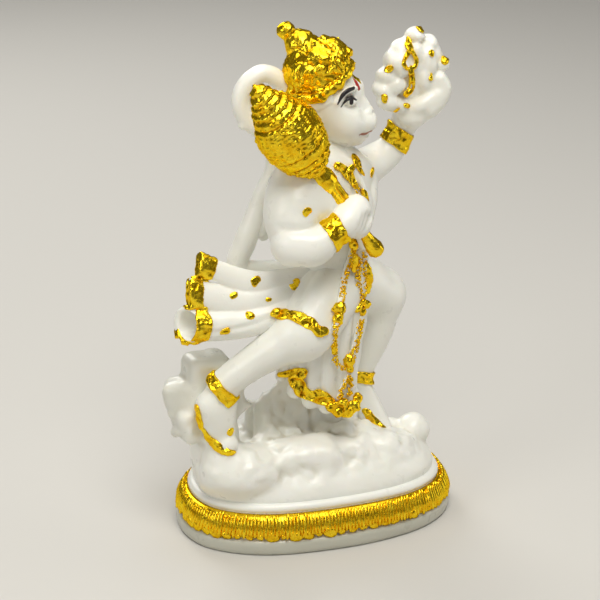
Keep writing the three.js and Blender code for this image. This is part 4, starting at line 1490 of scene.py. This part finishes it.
def start(material):
    """A material's node tree and its shader."""
    material.use_nodes = True
    tree = material.node_tree
    return tree, tree.nodes["Principled BSDF"]


tree, shader = start(resin)
cloudy = spread(tree, noise_of(tree, 90.0, 3.0), 0.35, 0.65)
white = blended(tree, cloudy, (0.87, 0.867, 0.795, 1), (0.9, 0.896, 0.835, 1))
# painted shade: the resin turns darker and warmer in hollows and creases, with a little dust there too
white = blended(tree, hollow_of(tree, 0.04, 0.32), white, (0.72, 0.695, 0.59, 1))
# painted shade: the resin turns grey on the rock stack behind the near foot and on the plinth's rim, which
# stand in shade
thin = put(tree, "ShaderNodeAttribute", out="Fac", attribute_name="thin")
white = blended(tree, thin, white, (0.54, 0.535, 0.455, 1))
tree.links.new(white, shader.inputs["Base Color"])
tree.links.new(spread(tree, noise_of(tree, 260.0), 0.3, 0.7, 0.26, 0.42), shader.inputs["Roughness"])
place = put(tree, "ShaderNodeTexCoord", out="Object")
cells = put(tree, "ShaderNodeTexVoronoi", {"Vector": place, "Scale": 420.0}, out="Distance")
pits = spread(tree, cells, 0.02, 0.12)
some = spread(tree, noise_of(tree, 200.0), 0.56, 0.62, 1.0, 0.0)
pitted = calc(tree, "MAXIMUM", pits, some)
grainy = calc(tree, "MULTIPLY", noise_of(tree, 1500.0), 0.35)
height = calc(tree, "ADD", pitted, grainy)
tree.links.new(bump_of(tree, height, 0.00008), shader.inputs["Normal"])
shader.inputs["Subsurface Weight"].default_value = 0.2
shader.inputs["Subsurface Radius"].default_value = (0.0018, 0.0014, 0.001)
shader.inputs["Subsurface Scale"].default_value = 1.0
shader.inputs["Coat Weight"].default_value = 0.15
shader.inputs["Coat Roughness"].default_value = 0.2
print("resin has", len(tree.nodes), "nodes")

# %% Gold paint
tree, shader = start(gold)
patchy = spread(tree, noise_of(tree, 480.0, 4.0, 0.6), 0.36, 0.62)
yellow = blended(tree, patchy, (0.9, 0.53, 0.01, 1), (1.0, 0.73, 0.03, 1))
# painted shade: the gold darkens to orange-brown in its hollows and creases
deep = hollow_of(tree, 0.015, 0.13)
yellow = blended(tree, deep, yellow, (0.42, 0.22, 0.006, 1))
tree.links.new(yellow, shader.inputs["Base Color"])
flake = noise_of(tree, 1500.0, 2.0, 0.6)
tree.links.new(spread(tree, flake, 0.35, 0.65, 0.16, 0.3), shader.inputs["Roughness"])
# creases like those of foil: noise folded at its middle value
folds = noise_of(tree, 430.0, 1.0)
off_middle = calc(tree, "SUBTRACT", folds, 0.5)
crease = calc(tree, "ABSOLUTE", off_middle)
foil = bump_of(tree, crease, 0.00042)
tree.links.new(bump_of(tree, flake, 0.00002, Normal=foil), shader.inputs["Normal"])
shader.inputs["Metallic"].default_value = 0.94
shader.inputs["Specular Tint"].default_value = (1, 0.8, 0.3, 1)
print("gold has", len(tree.nodes), "nodes")

# the moulding of the plinth carries its own relief, so its gold is smoother
smooth_gold = gold.copy()
smooth_gold.name = "smooth_gold"
for node in smooth_gold.node_tree.nodes:
    if node.bl_idname == "ShaderNodeBump":
        node.inputs["Strength"].default_value = 0.3


# %% Paints of the face
def paint(name, colour, darker, roughness):
    """A plain paint, worn in places to its darker colour."""
    material = bpy.data.materials.new(name)
    tree, shader = start(material)
    worn = spread(tree, noise_of(tree, 1400.0, 3.0), 0.35, 0.65)
    tree.links.new(blended(tree, worn, (*colour, 1), (*darker, 1)), shader.inputs["Base Color"])
    tree.links.new(bump_of(tree, noise_of(tree, 2400.0), 0.00005), shader.inputs["Normal"])
    shader.inputs["Roughness"].default_value = roughness
    return material


black = paint("black_paint", (0.012, 0.01, 0.012), (0.03, 0.025, 0.028), 0.35)
red = paint("red_paint", (0.45, 0.03, 0.02), (0.3, 0.015, 0.012), 0.4)
pink = paint("lip_paint", (0.42, 0.16, 0.11), (0.5, 0.25, 0.18), 0.4)
print("paints of the face:", black.name, red.name, pink.name)

# %% [markdown]
# ## Firing all pieces
# Each block is worked at its own fineness: the face, the crown and the mace are finest, the
# rocks coarsest. Neighbouring pieces share the seams of the casting, under hems and bands.

# %% White pieces
blocks = {
    "torso": ((-22, -25, 42), (34, 17, 95), 0.44, model_torso),
    "legs": ((-36, -22, 2), (30, 17, 62), 0.48, model_legs),
    "dhoti": ((-20, -16, 15), (19, 13, 60), 0.38, model_dhoti),
    "shawl": ((-42, -16, 38), (8, 3, 68), 0.36, model_shawl),
    "tail": ((-26, -3, 46), (9, 12, 110), 0.42, model_tail),
    "head": ((-11, -13, 78), (19, 13, 110), 0.25, model_head),
    "mountain": ((15, -3, 80), (41, 19, 117), 0.3, model_mountain),
    "rocks": ((-43, -24, -3), (37, 24, 40), 0.54, model_rocks),
    "garland_cord": ((-5, -22, 16), (16, -3, 66), 0.24, model_cord),
}
white_pieces = [fire(name, clay_block(*recipe)) for name, recipe in blocks.items()]
white_pieces.append(plinth)


# %% Painted shade on the rock stack and the plinth's rim
def paint_shade(piece, share):
    """Stores how much painted shade greys the resin at each point, by a rule on millimetres."""
    points = np.empty(3 * len(piece.data.vertices), np.float32)
    piece.data.vertices.foreach_get("co", points)
    x, y, z = points.reshape(-1, 3).T / MM
    values = share(x, y, z - PLINTH_TOP).astype(np.float32)
    piece.data.attributes.new("thin", "FLOAT", "POINT").data.foreach_set("value", values)
    print(piece.name, "is thin at", int((values > 0.25).sum()), "points")


def slab(x, y, z):
    """The stack behind the near foot, away from the figure, which stands in shade."""
    return np.clip((-20 - x) / 6, 0, 0.5) * np.clip((z - 10) / 5, 0, 1) * np.clip((y + 7) / 2, 0, 1)


# the plinth's rim below the gold band stands in shade too, so it also gets painted shade
def foot_of_plinth(x, y, z):
    return np.clip((-8.4 - z) / 0.4, 0, 1)


paint_shade(bpy.data.objects["rocks"], slab)
paint_shade(plinth, foot_of_plinth)

# %% Gold pieces
own_blocks = {
    "crown": ((-15, -13, 95), (15, 13, 121), 0.21, model_crown),
    "mace": ((-27, -26, 56), (19, -3, 113), 0.23, model_mace),
    "flowers": ((-6, -23, 15), (16, -4, 68), 0.2, model_flowers),
}
gold_pieces = [fire(name, clay_block(*recipe)) for name, recipe in own_blocks.items()]
gold_blocks = {name: [coat(*entry) for entry in entries] for name, entries in trims.items()}
gold_blocks["leg_bands"].append(clay_block((-17, -15, 46.5), (-11, -10, 52.5), 0.17, model_knot))
gold_pieces += [fire(name, *clays) for name, clays in gold_blocks.items()]
gold_pieces += [core, ribs, petals]
for number, (name, (stations, radius, count)) in enumerate(STRANDS.items()):
    line = course([(x, y - 0.8 * radius, z + PLINTH_TOP, 0) for x, y, z in stations], 0.5)[:, :3] * MM
    steps = [(i, i + 1) for i in range(len(line) - 1)]
    sizes = {"Count": 3 * count, "Grain": 0.00031, "Scatter": 0.0003 + 0.0004 * radius, "Seed": 11 + number}
    gold_pieces.append(grown("garland_" + name, line, steps, grains, Material=gold, **sizes))

# %% Painted pieces
face_pieces = []
for name, regions in face_marks.items():
    coats = [coat(model_head, region, 0.07, grain=0.14, crumple=0.015, ragged=0.05) for region in regions]
    face_pieces.append(fire(name, *coats))
painted = dict(zip(face_marks, [black, red, gold, pink]))

# %% [markdown]
# ## Putting it on the frame
# All pieces ride on the one fixed body and together replace its plain CAD form.

# %% Materials and the frame
def finish(piece, material):
    piece.data.materials.clear()
    piece.data.materials.append(material)
    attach(piece, "root")
    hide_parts("hanuman_figure")


for piece in white_pieces:
    finish(piece, resin)
for piece in gold_pieces:
    finish(piece, smooth_gold if piece.name.startswith("band") else gold)
for piece in face_pieces:
    finish(piece, painted[piece.name])
pieces = white_pieces + gold_pieces + face_pieces
for piece in pieces:
    piece.data.calc_loop_triangles()
print(len(pieces), "pieces,", sum(len(piece.data.loop_triangles) for piece in pieces), "triangles in all")

# %% [markdown]
# ## Light
# One large soft light stands high in front. Weaker ones fill from both sides and from the camera's
# place, a wide one overhead fills the gold with light, and one behind makes thin resin glow.

# %% Floor and lights
MIDDLE = Vector((0.0, 0.0, 0.06))


def soft_light(name, place, size, power, tint):
    data = bpy.data.lights.new(name, "AREA")
    data.shape = "DISK"
    data.size = size
    data.energy = power
    data.color = tint
    light = bpy.data.objects.new(name, data)
    light.location = place
    light.rotation_euler = (MIDDLE - light.location).to_track_quat("-Z", "Y").to_euler()
    bpy.context.scene.collection.objects.link(light)
    print(name, "light of", power, "W")


soft_light("key", (-0.02, -0.26, 0.52), 0.3, 1.75, (1, 0.98, 0.93))
soft_light("overhead", (0.05, 0.1, 0.75), 0.8, 2.75, (1, 0.98, 0.95))
soft_light("front", (-0.35, -0.75, 0.35), 0.4, 0.34, (1, 0.99, 0.95))
soft_light("fill", (0.5, -0.1, 0.12), 0.3, 0.3, (1, 0.97, 0.92))
soft_light("window", (-0.5, -0.2, 0.3), 0.3, 0.7, (1, 0.99, 0.95))
soft_light("back", (-0.1, 0.5, 0.4), 0.3, 1.2, (1, 0.99, 0.96))
world = bpy.data.worlds.new("studio")
world.use_nodes = True
world.node_tree.nodes["Background"].inputs["Color"].default_value = (0.8, 0.79, 0.75, 1)
world.node_tree.nodes["Background"].inputs["Strength"].default_value = 0.12
bpy.context.scene.world = world

floor_mesh = bpy.data.meshes.new("floor")
floor_mesh.from_pydata([(-1, -1, 0), (1, -1, 0), (1, 1, 0), (-1, 1, 0)], [], [(0, 1, 2, 3)])
floor = bpy.data.objects.new("floor", floor_mesh)
bpy.context.scene.collection.objects.link(floor)
floor_material = bpy.data.materials.new("floor")
tree, shader = start(floor_material)
shader.inputs["Base Color"].default_value = (0.6, 0.585, 0.55, 1)
shader.inputs["Roughness"].default_value = 0.8
floor_mesh.materials.append(floor_material)
